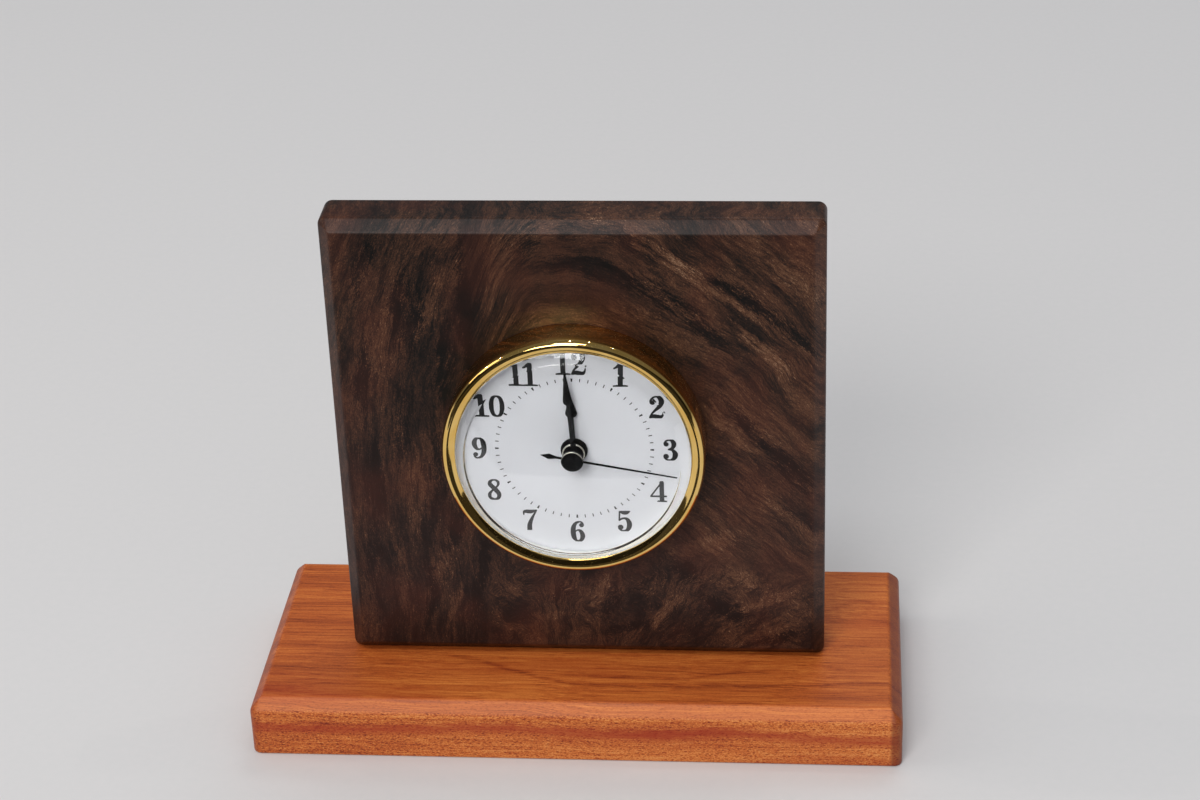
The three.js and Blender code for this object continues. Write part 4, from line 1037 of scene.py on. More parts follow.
def dome(rim_radius, rim_height, top_height, steps=14):
    """Profile of a shallow dome from middle to rim: the height falls with the square of the radius."""
    radius = np.linspace(0, rim_radius, steps)
    return np.column_stack([radius, top_height + (rim_height - top_height) * (radius / rim_radius) ** 2])


def crystal_profile():
    """Section of the crystal: the outer dome, its shoulder and flange, and the same inside."""
    outer = softened(CRYSTAL_OUTER, [0, 0.35, 0.25, 0.1, 0], 6, closed=False)[1:]
    inner = softened(CRYSTAL_INNER, [0, 0.1, 0.3, 0], 6, closed=False)[:-1]
    shoulder = outer[outer[:, 0] > OUTER_DOME[0] + DOME_MARGIN]
    hollow = inner[inner[:, 0] > INNER_DOME[0] + DOME_MARGIN]
    profile = np.vstack([dome(*OUTER_DOME), shoulder, CRYSTAL_OUTER[-1:], hollow, dome(*INNER_DOME)[::-1]])
    return profile[np.r_[True, np.linalg.norm(np.diff(profile, axis=0), axis=1) > 1e-4]]


class ClockCrystal(bpy.types.Operator):
    """Turns the crystal with its bevelled shoulder, low dome and flange"""

    bl_idname = "clock.crystal"
    bl_label = "Crystal"

    def execute(self, context):
        shape = round_axis(crystal_profile(), 256, loop=False)
        piece("crystal_turned", shape, "insert", "crystal_glass", ("crystal",), sharp=24)
        return {"FINISHED"}


# Numerals: pen strokes through (right, up, pen radius), in hundredths of a numeral's height
BALL_ARC_TOP = [(-24, 82, 2.5), (-17, 92, 3.2), (-3, 97, 3.2)]
BOWL_END = [(0, 3, 3.2), (-15, 5, 3), (-25, 14, 2.5)]
NUMERALS = {
    "0": [
        [
            (0, 97, 3), (-14, 89, 6.5), (-21, 68, 8.5), (-22, 50, 9),
            (-21, 32, 8.5), (-14, 11, 6.5), (0, 3, 3),
        ],
        [(0, 97, 3), (14, 89, 6.5), (21, 68, 8.5), (22, 50, 9), (21, 32, 8.5), (14, 11, 6.5), (0, 3, 3)],
    ],
    "1": [
        [(1, 92, 9.5), (1, 60, 9.5), (1, 8, 9.5)],
        [(-24, 79, 3.2), (-16, 83, 4), (-8, 90, 5.5), (0, 97, 4)],
        [(-26, 3, 3.2), (0, 4, 4.4), (28, 3, 3.2)],
    ],
    "2": [
        [(-16, 74, 10.5), (-16.5, 74.5, 10.5)],
        [
            (-25, 80, 2.5), (-18, 91, 3.4), (-3, 97, 3.4), (10, 91, 7.5), (18, 74, 9.6),
            (12, 55, 8), (-4, 38, 5), (-20, 20, 3), (-27, 5, 2.6),
        ],
        [(-26, 4, 3.5), (-14, 10.5, 8), (2, 8.5, 8.5), (16, 7, 7), (25, 15, 3.5), (28, 28, 1.8)],
    ],
    "3": [
        [(-16, 77, 9.5), (-16.5, 77.5, 9.5)],
        [*BALL_ARC_TOP, (9, 92, 7), (15, 77, 9), (9, 60, 6), (-7, 52.5, 2.5)],
        [(-7, 52.5, 2.5), (8, 50, 4.5), (18, 38, 8.5), (20, 26, 10), (14, 10, 7.5), *BOWL_END],
        [(-17, 20, 10.5), (-17.5, 20.5, 10.5)],
    ],
    "4": [
        [(14, 92, 8.6), (14, 50, 8.6), (14, 6, 8.6)],
        [(17, 97, 3), (-8, 62, 2.6), (-31, 28, 2.6)],
        [(-31, 27, 3.2), (0, 27, 3.2), (31, 27, 3.2)],
        [(-2, 3, 3), (14, 3.5, 3.8), (31, 3, 3)],
    ],
    "5": [
        [(-20, 96, 2.6), (-6, 91, 7.4), (8, 91, 8), (22, 97, 2.4)],
        [(-20, 96, 2.6), (-21, 74, 2.6), (-22, 53, 2.6)],
        [(-22, 53, 2.6), (-12, 61, 3.5), (2, 63, 4.2), (14, 55, 7.5), (20, 34, 10), (14, 11, 7.8), *BOWL_END],
        [(-17, 20, 10.5), (-17.5, 20.5, 10.5)],
    ],
    "6": [
        [
            (22, 88, 2.6), (14, 96, 3), (4, 96, 3.4), (-9, 88, 6), (-18, 69, 9),
            (-20, 46, 10), (-17, 22, 9.4), (-9, 7, 5), (1, 3, 3),
        ],
        [(1, 3, 3), (13, 8, 6.5), (19.5, 28, 9.4), (13, 49, 7), (1, 56, 3), (-10, 50, 2.5), (-17, 40, 2.5)],
        [(16, 80, 9.2), (16.5, 80.5, 9.2)],
    ],
    "7": [
        [(-27, 76, 2), (-25, 90, 4), (-14, 91, 7.6), (0, 90, 8), (14, 92.5, 6), (27, 97, 2.4)],
        [(27, 96, 2.5), (14, 72, 4), (3, 48, 6.8), (-4, 26, 9), (-5, 4, 9.6)],
    ],
    "8": [
        [
            (7, 96.5, 3.2), (-6, 96, 3.6), (-16, 88, 6), (-17, 76, 8.5), (-6, 62, 9.2),
            (8, 46, 9.6), (19, 28, 8.4), (15, 10, 6.4), (2, 3, 3.2),
        ],
        [
            (7, 96.5, 3.2), (17, 87, 5), (16, 72, 4), (4, 56, 3),
            (-12, 42, 4), (-21, 26, 6.5), (-16, 9, 5.5), (2, 3, 3.2),
        ],
    ],
}
NUMERALS["9"] = [[(-right, 100 - up, pen) for right, up, pen in line] for line in NUMERALS["6"]]
DIGIT_PLACES, ELEVEN_PLACES, DIGIT_HALF_WIDTH = {1: [0.0], 2: [-34.0, 30.0]}, [-30.0, 28.0], 36
PEN_SPREAD = 0.9
PRINT_STEP, POINTS_A_STROKE = 0.09, 26
PRINT_BACK, PRINT_FRONT = 5.105, 5.135


def stroke_field(line, right, up):
    """Distance from points to a pen stroke, below zero on it: the least of distance less the pen's radius.

    The pen's place and radius follow a Catmull-Rom curve through the line's own points.
    """
    line = np.asarray(line, float)
    padded = np.vstack([2 * line[0] - line[1], line, 2 * line[-1] - line[-2]])
    a, b, c, d = (padded[k : len(line) - 1 + k, None] for k in range(4))
    t = np.linspace(0, 1, POINTS_A_STROKE)[None, :, None]
    curve = 0.5 * (2 * b + (c - a) * t + (2 * a - 5 * b + 4 * c - d) * t**2 + (3 * b - a - 3 * c + d) * t**3)
    curve = curve.reshape(-1, 3)
    away = np.hypot(right[..., None] - curve[:, 0], up[..., None] - curve[:, 1])
    return (away - curve[:, 2]).min(-1) - PEN_SPREAD


def from_corner(triangles, corner):
    """Triangles whose corners start from the one that is marked."""
    start = np.argmax(corner, 1)
    return np.take_along_axis(triangles, (start[:, None] + np.arange(3)) % 3, 1)


def inked(field, low, high):
    """Triangles where a field of two coordinates is below zero.

    The field is worked out on a square grid whose cells are two triangles each. A triangle that it crosses
    is cut where it is zero, between two corners in the ratio of their values.
    """
    columns, rows = [int(math.ceil((high[k] - low[k]) / PRINT_STEP)) + 1 for k in range(2)]
    right, up = low[0] + PRINT_STEP * np.arange(columns), low[1] + PRINT_STEP * np.arange(rows)
    grid = np.stack(np.meshgrid(right, up), -1)
    value = field(grid[..., 0], grid[..., 1]).ravel()
    points = grid.reshape(-1, 2)
    index = np.arange(columns * rows).reshape(rows, columns)
    corners = (index[:-1, :-1], index[:-1, 1:], index[1:, 1:], index[1:, :-1])
    a, b, c, d = (corner.ravel() for corner in corners)
    triangles = np.vstack([np.column_stack([a, b, c]), np.column_stack([a, c, d])])
    inside = value[triangles] < 0
    count = inside.sum(1)
    one = from_corner(triangles[count == 1], inside[count == 1])
    two = from_corner(triangles[count == 2], ~inside[count == 2])
    lone = np.vstack([one, two])
    ends = np.vstack([lone[:, [0, 1]], lone[:, [0, 2]]])
    ends.sort(1)
    unique, place = np.unique(ends[:, 0] * len(points) + ends[:, 1], return_inverse=True)
    first, second = unique // len(points), unique % len(points)
    part = (value[first] / (value[first] - value[second]))[:, None]
    crossings = points[first] * (1 - part) + points[second] * part
    place = place.ravel() + len(points)
    to_next, to_last = place[: len(lone)], place[len(lone) :]
    n = len(one)
    cut_one = [one[:, 0], to_next[:n], to_last[:n]]
    cut_two = [two[:, 1], two[:, 2], to_last[n:]]
    cut_three = [two[:, 1], to_last[n:], to_next[n:]]
    faces = np.vstack([triangles[count == 3], *(np.column_stack(c) for c in (cut_one, cut_two, cut_three))])
    used, faces = np.unique(faces, return_inverse=True)
    return np.vstack([points, crossings])[used], faces.reshape(-1, 3)


def numeral_flat(text, middle, height):
    """Flat triangles of a number of one or two digits about its middle."""
    scale = height / 100
    places = ELEVEN_PLACES if text == "11" else DIGIT_PLACES[len(text)]
    strokes = [(place, line) for digit, place in zip(text, places) for line in NUMERALS[digit]]

    def field(right, up):
        """Below zero on the ink: the nearest stroke, kept between the foot and the head of the numeral."""
        across, along = (right - middle[0]) / scale, (up - middle[1]) / scale + 50
        nearest = np.min([stroke_field(line, across - place, along) for place, line in strokes], 0)
        return np.maximum(nearest, np.maximum(-along, along - 100)) * scale

    half = np.array([(DIGIT_HALF_WIDTH + abs(places[0])) * scale, 0.55 * height])
    return inked(field, middle - half, middle + half)


def printed_piece(name, flats):
    """Ink: flat triangles with their faces joined where they lie level, given a thin wall above the dial."""
    layers = [(np.insert(flat, 2, PRINT_BACK, axis=1), faces.tolist()) for flat, faces in flats]
    points, faces = joined(*layers)
    mesh = bpy.data.meshes.new(name)
    mesh.from_pydata((facing(points) * MM).tolist(), [], faces)
    work = bmesh.new()
    work.from_mesh(mesh)
    bmesh.ops.dissolve_limit(work, angle_limit=1e-3, verts=work.verts, edges=work.edges)
    top = bmesh.ops.extrude_face_region(work, geom=work.faces[:])["geom"]
    lifted = [item for item in top if isinstance(item, bmesh.types.BMVert)]
    bmesh.ops.translate(work, verts=lifted, vec=(0, (PRINT_BACK - PRINT_FRONT) * MM, 0))
    bmesh.ops.recalc_face_normals(work, faces=work.faces)
    work.to_mesh(mesh)
    work.free()
    return dressed(bpy.data.objects.new(name, mesh), "insert", "print_ink")


# Half widths of a tick at its outer and inner end
HOUR_TICK, MINUTE_TICK = (0.34, 0.22), (0.17, 0.14)


def tick_flat(minute):
    """One tick: a quad that narrows towards the axis, bolder at the hours."""
    s = bpy.context.scene.clock_insert
    radius, half = s.tick_radius / MM, s.tick_length / MM / 2
    outer, inner = MINUTE_TICK if minute % 5 else HOUR_TICK
    low, high = radius - half, radius + half
    angle = minute / 60 * 2 * math.pi
    turn = np.array([[math.cos(angle), -math.sin(angle)], [math.sin(angle), math.cos(angle)]])
    corners = np.array([(-inner, low), (inner, low), (outer, high), (-outer, high)])
    return corners @ turn, np.array([[0, 1, 2], [0, 2, 3]])


class ClockDial(bpy.types.Operator):
    """Builds the white dial, its printed numerals and ticks, and the ring between it and the crystal"""

    bl_idname = "clock.dial"
    bl_label = "Dial"

    def execute(self, context):
        s = context.scene.clock_insert
        dial = round_axis(softened(DIAL_PROFILE, 0.08, 3), 224)
        spacer = round_axis(softened(SPACER_PROFILE, 0.3, 5), 224)
        piece("dial_disc", dial, "insert", "dial_lacquer", ("dial",))
        piece("dial_ring", spacer, "insert", "spacer_white", ("dial_spacer",))
        radius, height = s.numeral_radius / MM, s.numeral_height / MM
        for hour in range(1, 13):
            angle = hour / 12 * 2 * math.pi
            middle = np.array([radius * math.sin(angle), radius * math.cos(angle)])
            printed_piece(f"numeral_{hour}", [numeral_flat(str(hour), middle, height)])
        printed_piece("minute_ticks", [tick_flat(minute) for minute in range(60)])
        return {"FINISHED"}


# Hands

# A blade's root, widest place and tip are shares of the reach. Angles are clockwise from 12 o'clock.
HAND_REACH = 40.0
HANDS = {
    "hour": {
        "shaft": 1.4, "blade": 4.1, "root": 0.32, "widest": 0.365, "tip": 0.57,
        "top": 6.4, "hub": 4.65, "bore": 1.25, "angle": -2.0,
    },
    "minute": {
        "shaft": 1.3, "blade": 3.2, "root": 0.47, "widest": 0.51, "tip": 0.868,
        "top": 8.8, "hub": 3.9, "bore": 0.7, "angle": -3.6,
    },
}
HUB_THICKNESS, HAND_THICKNESS, FALL_POWER = 0.7, 0.3, 1.17
RIM_FALL, RIM_SLOPE, RIM_WIDTH = 0.3, 0.34, 0.6
DISH_INSET, DISH_DEPTH, COLLAR_FOOT, COLLAR_WALL = 0.85, 0.2, 0.9, 0.75
BURIED_SHARE, TIP_GAP, LEAST_HALF_WIDTH, RIDGE_DROP = 0.6, 0.02, 0.02, 0.05
# The second hand: heights of its back and front, its angle, and half widths at places along it
NEEDLE_BACK, NEEDLE_FRONT, NEEDLE_RIDGE, NEEDLE_ANGLE = 12.7, 13.0, 0.12, 100.3
NEEDLE_MARKS = {-11.0: 0.03, -8.12: 1.05, -5.6: 0.45, -3.0: 0.45, 0.0: 0.43, 35.9: 0.24}
NEEDLE_TUBE = [(1.4, 9.25), (1.4, 12.75), (0.62, 12.75), (0.62, 9.25)]
CAP_SIDE = [(3.85, 13.2), (3.85, 13.95), (3.6, 14.17), (2.9, 14.2)]
CAP_TOP = [(1.5, 14.17), (0, 14.16)]
EDGE_FALL, SHOULDER_SHARE, SHOULDER_RISE, RIDGE_SHARE = 0.06, 0.55, 0.42, 0.22


def ridged_blade(station, half, back, front, ridge):
    """A blade along its length: at each station a flat back, two low edges and a ridge in the middle.

    Both ends close in one point. The ridge is a share of the half width there, up to its full height.
    """
    level = np.minimum(ridge, half * RIDGE_SHARE)
    flat, edge = np.full_like(half, back), np.full_like(half, front - EDGE_FALL)
    shoulder = front + level * SHOULDER_RISE
    lift = np.stack([flat, edge, shoulder, front + level, shoulder, edge, flat, flat], -1)
    across = np.array([-1.0, -1.0, -SHOULDER_SHARE, 0.0, SHOULDER_SHARE, 1.0, 1.0, 0.0])
    rows = np.stack([half[:, None] * across, np.repeat(station[:, None], 8, 1), lift], -1)
    middle = (back + front) / 2
    return woven(poled(rows, (0, station[0], middle), (0, station[-1], middle)))


def turned_by(points, degrees):
    """Points turned clockwise round the axis as the viewer sees it."""
    sine, cosine = math.sin(math.radians(degrees)), math.cos(math.radians(degrees))
    right, up, out = np.moveaxis(points, -1, 0)
    return np.stack([right * cosine + up * sine, -right * sine + up * cosine, out], -1)


def blade_half_width(hand, station):
    """Half width along a blade: a straight shaft, a quarter ellipse to the widest place, a fall to the tip.

    Past the widest place the half width is the widest times a power of the share of the way left.
    """
    root, widest, tip = (hand[key] * HAND_REACH for key in ("root", "widest", "tip"))
    slim, broad = hand["shaft"] / 2, hand["blade"] / 2
    swell = np.sqrt(np.clip(1 - ((widest - station) / (widest - root)) ** 2, 0, 1))
    fall = broad * np.clip((tip - station) / (tip - widest), 0, 1) ** FALL_POWER
    return np.where(station < root, slim, np.where(station < widest, slim + (broad - slim) * swell, fall))


def hub_profile(hand):
    """A collar with a raised rim and a dished middle, round the hand's bore."""
    hub, bore, top = hand["hub"], hand["bore"], hand["top"]
    low, dish = top - HUB_THICKNESS, top - DISH_DEPTH
    rim = [(hub, low), (hub, top - RIM_FALL), (hub - RIM_SLOPE, top), (hub - RIM_WIDTH, top)]
    floor = [(hub - DISH_INSET, dish), (bore + COLLAR_FOOT, dish)]
    collar = [(bore + COLLAR_WALL, top), (bore, top), (bore, low)]
    return softened(rim + floor + collar, 0.1, 4)


def hand_shape(hand):
    """A hand: its ridged blade, turned to its angle, and its collar."""
    root, widest, tip = (hand[key] * HAND_REACH for key in ("root", "widest", "tip"))
    swell, fall = np.linspace(root, widest, 14), np.linspace(widest, tip, 36)[1:-1]
    buried = [hand["hub"] * BURIED_SHARE, root * BURIED_SHARE]
    station = np.concatenate([buried, swell, fall, [tip - TIP_GAP]])
    top = hand["top"] - (HUB_THICKNESS - HAND_THICKNESS) / 2
    half = np.maximum(blade_half_width(hand, station), LEAST_HALF_WIDTH)
    ridge = bpy.context.scene.clock_insert.ridge / MM
    points, faces = ridged_blade(station, half, top - HAND_THICKNESS, top - RIDGE_DROP, ridge)
    blade = facing(turned_by(points, hand["angle"])), faces
    return joined(blade, round_axis(hub_profile(hand), 96))


def second_hand_shape():
    """The second hand: a needle that thins to its tip, a diamond tail, and a tube towards the minute hand."""
    marks, halves = list(NEEDLE_MARKS), list(NEEDLE_MARKS.values())
    station = np.concatenate([np.linspace(marks[0], marks[2], 19), np.linspace(-5, marks[-1], 30)])
    half = np.interp(station, marks, halves)
    points, faces = ridged_blade(station, half, NEEDLE_BACK, NEEDLE_FRONT - RIDGE_DROP, NEEDLE_RIDGE)
    needle = facing(turned_by(points, NEEDLE_ANGLE)), faces
    return joined(needle, round_axis(softened(NEEDLE_TUBE, 0.08, 3), 48))


class ClockHands(bpy.types.Operator):
    """Builds the three hands and the round cap"""

    bl_idname = "clock.hands"
    bl_label = "Hands"

    def execute(self, context):
        cap_side = softened(CAP_SIDE, [0.15, 0.18, 0.2, 0], 5, closed=False)
        cap = round_axis(np.vstack([(0, CAP_SIDE[0][1]), cap_side, CAP_TOP]), 96, loop=False)
        for name, shape, body, node, sharp in (
            ("hour_blade", hand_shape(HANDS["hour"]), "hour_arbor", "hour_hand", 25),
            ("minute_blade", hand_shape(HANDS["minute"]), "minute_arbor", "minute_hand", 25),
            ("second_needle", second_hand_shape(), "second_arbor", "second_hand", 25),
            ("hands_cap", cap, "second_arbor", "second_hand_cap", 30),
        ):
            piece(name, shape, body, "hand_lacquer", (node,), sharp)
        return {"FINISHED"}


# Behind the dial

CELL_LOW, CELL_HIGH = seen_box("cell")
CELL_TOP = 1.2
GRIP = {"inner": 39.1, "outer": 39.6, "rib": 0.3, "low": -8.2, "high": -1.2}
CASE_EDGES = {"insert_cup": 0.15, "movement_front": 0.15, "movement_back": 0.2}
KNOB_EDGE = 0.12
WIRE, DIP_SHARE, COIL_CORE, POINTS_A_TURN = 0.16, 0.35, 1.72, 5
INNER_FINISHES = {
    "nylon": [
        "train_bridge", "coil_bobbin", "rotor_pinion", "fifth_wheel", "second_wheel", "third_wheel",
        "centre_wheel", "motion_wheel", "hour_wheel",
    ],
    "steel": ["stator", "coil_core", "quartz_can"],
    "brass": ["minute_pipe"],
    "magnet": ["rotor_magnet"],
    "laminate": ["circuit_board"],
    "epoxy": ["chip"],
}


def grip_profile():
    """Section of the grip ring: its outside swells in ribs, by the 1.5th power of a sine."""
    ribs = np.linspace(0, 1, 57)
    height = GRIP["low"] + (GRIP["high"] - GRIP["low"]) * ribs
    swell = GRIP["outer"] + GRIP["rib"] * np.abs(np.sin(2 * np.pi * ribs)) ** 1.5
    inside = [(GRIP["inner"], GRIP["high"]), (GRIP["inner"], GRIP["low"])]
    return np.vstack([np.column_stack([swell, height]), inside])


class ClockBack(bpy.types.Operator):
    """Dresses the cup and the movement's case with rounded edges, and rebuilds the grip ring with ribs"""

    bl_idname = "clock.back"
    bl_label = "Back of the insert"

    def execute(self, context):
        for node, width in CASE_EDGES.items():
            edged_copy(node, "case_black", width)
        piece("grip_band", round_axis(grip_profile(), 224), "insert", "rubber", ("grip_ring",))
        return {"FINISHED"}


class ClockKnob(bpy.types.Operator):
    """Dresses the setting knob with rounded edges on its grooved rim"""

    bl_idname = "clock.knob"
    bl_label = "Setting knob"

    def execute(self, context):
        edged_copy("setting_knob", "case_black", KNOB_EDGE)
        return {"FINISHED"}


def cell_profile(radius, start, end):
    """Section of the cell from its dished minus end, over two crimped shoulders, to its plus nub."""
    shoulder = end - CELL_TOP
    minus = [(0, start + 0.25), (4.6, start + 0.25), (4.9, start), (radius - 1.1, start)]
    sleeve = [(radius - 0.55, start + 0.35), (radius, start + 0.8), (radius, shoulder - 0.7)]
    crimp = [(radius - 0.5, shoulder - 0.15), (radius - 1.3, shoulder - 0.1), (radius - 1.7, shoulder - 0.45)]
    nub = [(3.2, shoulder - 0.45), (2.75, shoulder - 0.1), (2.75, end - 0.25), (2.45, end), (0, end)]
    return softened(minus + sleeve + crimp + nub, 0.3, 5, closed=False)


class ClockCell(bpy.types.Operator):
    """Builds the cell with its sleeve, crimped ends and plus nub, and dresses the contacts"""

    bl_idname = "clock.cell"
    bl_label = "Cell"

    def execute(self, context):
        middle = (CELL_LOW + CELL_HIGH) / 2
        rows = turned(cell_profile((CELL_HIGH[2] - CELL_LOW[2]) / 2, CELL_LOW[0], CELL_HIGH[0]), 128)
        points = np.stack([rows[..., 2], middle[1] + rows[..., 0], middle[2] + rows[..., 1]], -1)
        piece("cell_sleeved", woven(points), "battery", "cell_jacket", ("cell",), sharp=30)
        for node in ("contact_plus", "contact_minus"):
            finish_node(node, "steel")
        return {"FINISHED"}


def coil_shape():
    """The winding as one closed surface: its outside dips between a helix's turns, by a cosine's size."""
    low, high = seen_box("coil_winding")
    middle = (low + high) / 2
    turns = int((high[0] - low[0]) / WIRE)
    run = np.linspace(0, 1, turns * POINTS_A_TURN + 1)[:, None]
    angle = np.linspace(0, 2 * np.pi, 40, endpoint=False)
    phase = (run * turns - angle / (2 * np.pi)) * np.pi
    outer = (high[2] - low[2]) / 2 - WIRE * DIP_SHARE * (1 - np.abs(np.cos(phase)))
    inner = np.full((2, len(angle)), COIL_CORE)
    along = low[0] + (high[0] - low[0]) * run + 0 * angle
    along, radius = np.vstack([along, along[[-1, 0]]]), np.vstack([outer, inner])
    points = np.stack([along, middle[1] + radius * np.sin(angle), middle[2] + radius * np.cos(angle)], -1)
    return woven(points, loop=True)


class ClockTrain(bpy.types.Operator):
    """Winds the coil and gives every wheel and plate inside the case its finish"""

    bl_idname = "clock.train"
    bl_label = "Train and coil"

    def execute(self, context):
        piece("coil_wound", coil_shape(), "insert", "copper", ("coil_winding",), sharp=60)
        for look, nodes in INNER_FINISHES.items():
            for node in nodes:
                finish_node(node, look)
        return {"FINISHED"}


# Stage

# The camera: place in millimetres, angles in radians, focal length and sensor in millimetres
CAMERA_PLACE = (90.3, -817.5, 561.2)
CAMERA_YAW, CAMERA_PITCH, CAMERA_ROLL = 0.09901, 0.4948, -0.03778
CAMERA_LENS, CAMERA_SENSOR = 80.97, 36.0

# Lamps, in metres: setting of the power and share of it, place, point it faces, width and depth, colour
LAMPS = {
    "key": ("key_power", 1.0, (-0.8, -2.8, 2.1), (0, 0.2, 0.1), (1.5, 1.0), (1.0, 0.975, 0.94)),
    "fill": ("fill_power", 1.0, (-2.6, -0.3, 1.4), (0, 0.1, 0.1), (1.2, 1.2), (1.0, 0.93, 0.84)),
    "top": ("top_power", 0.9, (0.5, 1.6, 2.4), (0.2, 0.6, 0.0), (1.4, 1.0), (0.95, 0.97, 1.0)),
    "sheen": ("top_power", 1.5, (-0.2, -1.2, 2.4), (0, 0, 0.1), (0.9, 0.5), (0.97, 0.98, 1.0)),
}
BULB_PLACES = (
    (-0.17, 0.5, 2.28), (0.3, 0.52, 2.26), (0.89, 0.45, 2.11), (-1.71, 0.25, 1.52), (-1.93, 0.26, 1.19),
)
BULB_TARGET, BULB_WIDTH, BULB_TONE = (0, 0, 0.1), 0.04, (1.0, 0.95, 0.88)
SKY_TONE, MIRRORED_SKY_SHARE = (0.93, 0.96, 1.0, 1), 0.4
FLOOR_RADIUS, FLOOR_RINGS, FLOOR_SIDES = 9.0, 24, 96
# The unlit room, in metres: radius and height of its rows, how far it reaches round, its near edge, and
# the angle from which that edge steps back
ROOM_ROWS = [(0.3, 0.002), (2.6, 0.002), (2.7, 0.02), (2.7, 1.2)]
ROOM_ANGLE, ROOM_EDGE, ROOM_STEP, ROOM_SLOPE = 1.45, 0.2, 0.1, 0.154
STEP_ANGLE, STEP_WIDTH, ROOM_POINTS = 0.07, 0.04, 204


def camera_axes():
    """The camera's right, up and backward directions from its yaw, pitch and roll."""
    yaw, pitch, roll = CAMERA_YAW, CAMERA_PITCH, CAMERA_ROLL
    ahead = Vector((-math.sin(yaw) * math.cos(pitch), math.cos(yaw) * math.cos(pitch), -math.sin(pitch)))
    right = Vector((math.cos(yaw), math.sin(yaw), 0))
    up = right.cross(ahead)
    rolled_right = right * math.cos(roll) + up * math.sin(roll)
    rolled_up = up * math.cos(roll) - right * math.sin(roll)
    return rolled_right, rolled_up, -ahead


def camera():
    """The camera at the photograph's place and angle."""
    data = bpy.data.cameras.new("camera")
    data.sensor_fit = "HORIZONTAL"
    data.sensor_width = CAMERA_SENSOR
    data.lens = CAMERA_LENS
    data.clip_start, data.clip_end = 0.01, 100
    item = bpy.data.objects.new("camera", data)
    turn = Matrix(camera_axes()).transposed().to_4x4()
    item.matrix_world = Matrix.Translation(Vector(CAMERA_PLACE) * MM) @ turn
    return item


def lamp(name, place, target, size, power, tone):
    """A soft rectangular lamp that faces a point."""
    data = bpy.data.lights.new(name, "AREA")
    data.shape = "RECTANGLE"
    data.size, data.size_y = size
    data.energy = power
    data.color = tone
    item = bpy.data.objects.new(name, data)
    item.location = place
    item.rotation_euler = (Vector(target) - Vector(place)).to_track_quat("-Z", "Y").to_euler()
    bpy.context.scene.collection.objects.link(item)
    return item


def backdrop(name, points, faces, look):
    """A piece of the stage, with points in metres."""
    mesh = bpy.data.meshes.new(name)
    mesh.from_pydata(points.reshape(-1, 3).tolist(), [], faces)
    mesh.materials.append(finish(look))
    item = bpy.data.objects.new(name, mesh)
    bpy.context.scene.collection.objects.link(item)
    return item


def floor_shape():
    """A level disc: rings of points whose radius grows with the square of their number."""
    radius = FLOOR_RADIUS * np.linspace(0, 1, FLOOR_RINGS)[:, None] ** 2
    angle = np.linspace(0, 2 * np.pi, FLOOR_SIDES, endpoint=False)
    return woven(np.stack([radius * np.sin(angle), radius * np.cos(angle), 0 * radius * angle], -1))


def room_shape():
    """The unlit room in front of the clock, which only polished pieces mirror: a level part and a low wall.

    Its first row is the near edge. The others are arcs about the clock, first outwards and then up.
    """
    radius, height = np.array(ROOM_ROWS).T[..., None]
    near = np.array([0.0, 1.0, 1.0, 1.0])[:, None]
    angle = np.linspace(-ROOM_ANGLE, ROOM_ANGLE, ROOM_POINTS)
    sides = np.clip((np.abs(angle) - STEP_ANGLE) / STEP_WIDTH, 0, 1)
    edge = ROOM_EDGE + sides * (ROOM_STEP + ROOM_SLOPE * angle)
    across = radius * np.sin(angle) * near + (1 - near) * angle
    back = -radius * np.cos(angle) * near - (1 - near) * edge
    points = np.stack([across, back, height + 0 * angle], -1)
    index = np.arange(points.size // 3).reshape(points.shape[:2])
    quads = np.stack([index[:-1, :-1], index[:-1, 1:], index[1:, 1:], index[1:, :-1]], -1)
    return points, quads.reshape(-1, 4).tolist()


def room_light(strength):
    """A world of even pale light, dimmer in mirrors than in its light."""
    world = bpy.data.worlds.new("room")
    world.use_nodes = True
    tree = world.node_tree
    background = tree.nodes["Background"]
    background.inputs["Color"].default_value = SKY_TONE
    ray = tree.nodes.new("ShaderNodeLightPath").outputs["Is Glossy Ray"]
    dimmed = tree.nodes.new("ShaderNodeMath")
    dimmed.operation = "MULTIPLY_ADD"
    dimmed.inputs[1].default_value = strength * (MIRRORED_SKY_SHARE - 1)
    dimmed.inputs[2].default_value = strength
    tree.links.new(ray, dimmed.inputs[0])
    tree.links.new(dimmed.outputs[0], background.inputs["Strength"])
    return world


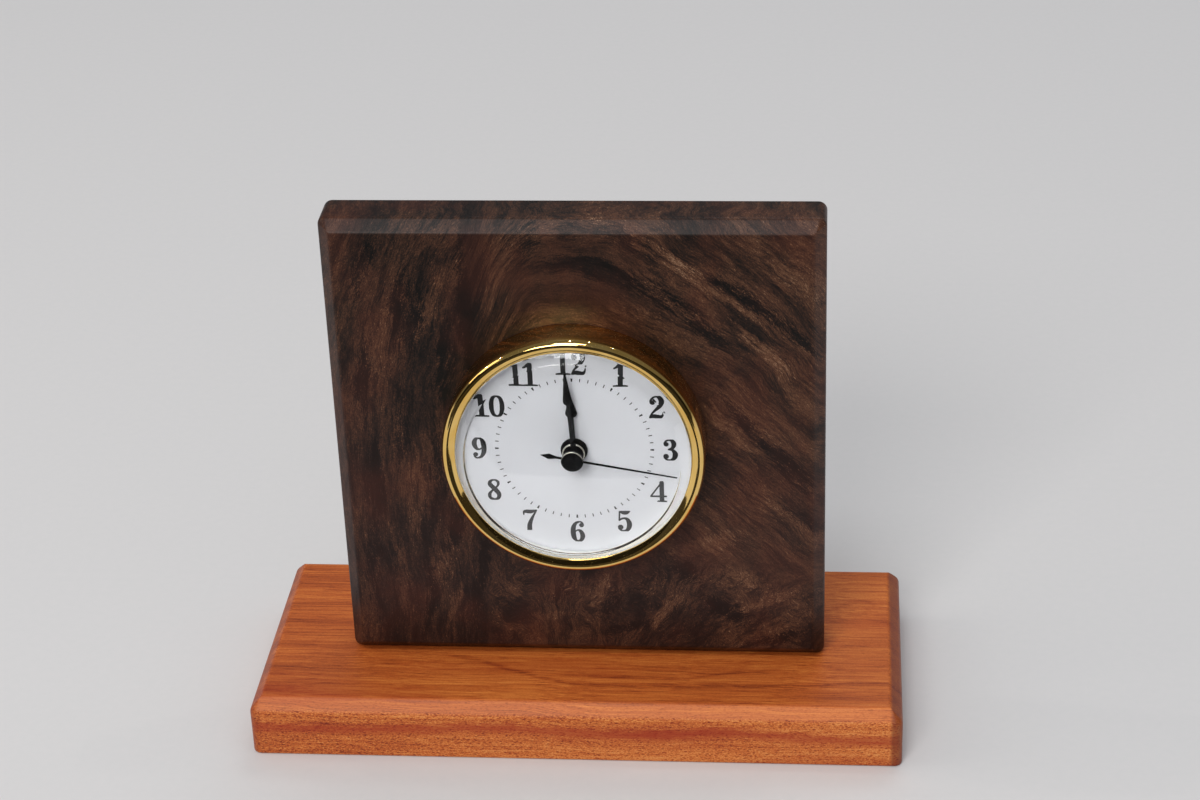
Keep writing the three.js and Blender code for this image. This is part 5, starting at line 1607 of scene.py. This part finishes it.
class ClockStage(bpy.types.Operator):
    """Sets the floor, the lamps, the room light and the camera"""

    bl_idname = "clock.stage"
    bl_label = "Stage"

    def execute(self, context):
        scene = context.scene
        s = scene.clock_stage
        backdrop("floor", *floor_shape(), "floor_paper")
        scene.world = room_light(s.sky)
        for name, (setting, part, place, target, size, tone) in LAMPS.items():
            lamp(name, place, target, size, getattr(s, setting) * part, tone)
        for number, place in enumerate(BULB_PLACES, 1):
            size = (BULB_WIDTH, BULB_WIDTH)
            bulb = lamp(f"bulb_{number}", place, BULB_TARGET, size, s.bulb_power, BULB_TONE)
            bulb.data.shape = "DISK"
        room = backdrop("dark_room", *room_shape(), "dark_cloth")
        room.visible_camera = room.visible_diffuse = room.visible_shadow = False
        scene.camera = camera()
        scene.collection.objects.link(scene.camera)
        scene.view_settings.view_transform = "Standard"
        return {"FINISHED"}


class ClockPanel(bpy.types.Panel):
    bl_idname = "VIEW3D_PT_desk_clock"
    bl_label = "Desk clock"
    bl_space_type = "VIEW_3D"
    bl_region_type = "UI"
    bl_category = "Desk clock"

    def draw(self, context):
        for group in SETTINGS:
            settings = getattr(context.scene, group)
            box = self.layout.box()
            for name in settings.__annotations__:
                box.prop(settings, name)
        for operator in OPERATORS:
            self.layout.operator(operator.bl_idname)


SETTINGS = {
    "clock_wood": ClockWoodSettings,
    "clock_insert": ClockInsertSettings,
    "clock_stage": ClockStageSettings,
}
OPERATORS = [
    ClockStage, ClockBase, ClockPlaque, ClockBezel, ClockCrystal, ClockDial, ClockHands, ClockBack, ClockKnob,
    ClockCell, ClockTrain,
]


def register():
    """Adds the settings, the operators and the panel to Blender."""
    for group in (*SETTINGS.values(), *OPERATORS, ClockPanel):
        bpy.utils.register_class(group)
    for name, group in SETTINGS.items():
        setattr(bpy.types.Scene, name, bpy.props.PointerProperty(type=group))


def unregister():
    """Takes the settings, the operators and the panel out of Blender again."""
    for name in SETTINGS:
        delattr(bpy.types.Scene, name)
    for group in (ClockPanel, *reversed(OPERATORS), *SETTINGS.values()):
        bpy.utils.unregister_class(group)


def main():
    """Runs every operator."""
    register()
    for operator in OPERATORS:
        category, name = operator.bl_idname.split(".")
        getattr(getattr(bpy.ops, category), name)()


if __name__ == "__main__":
    main()
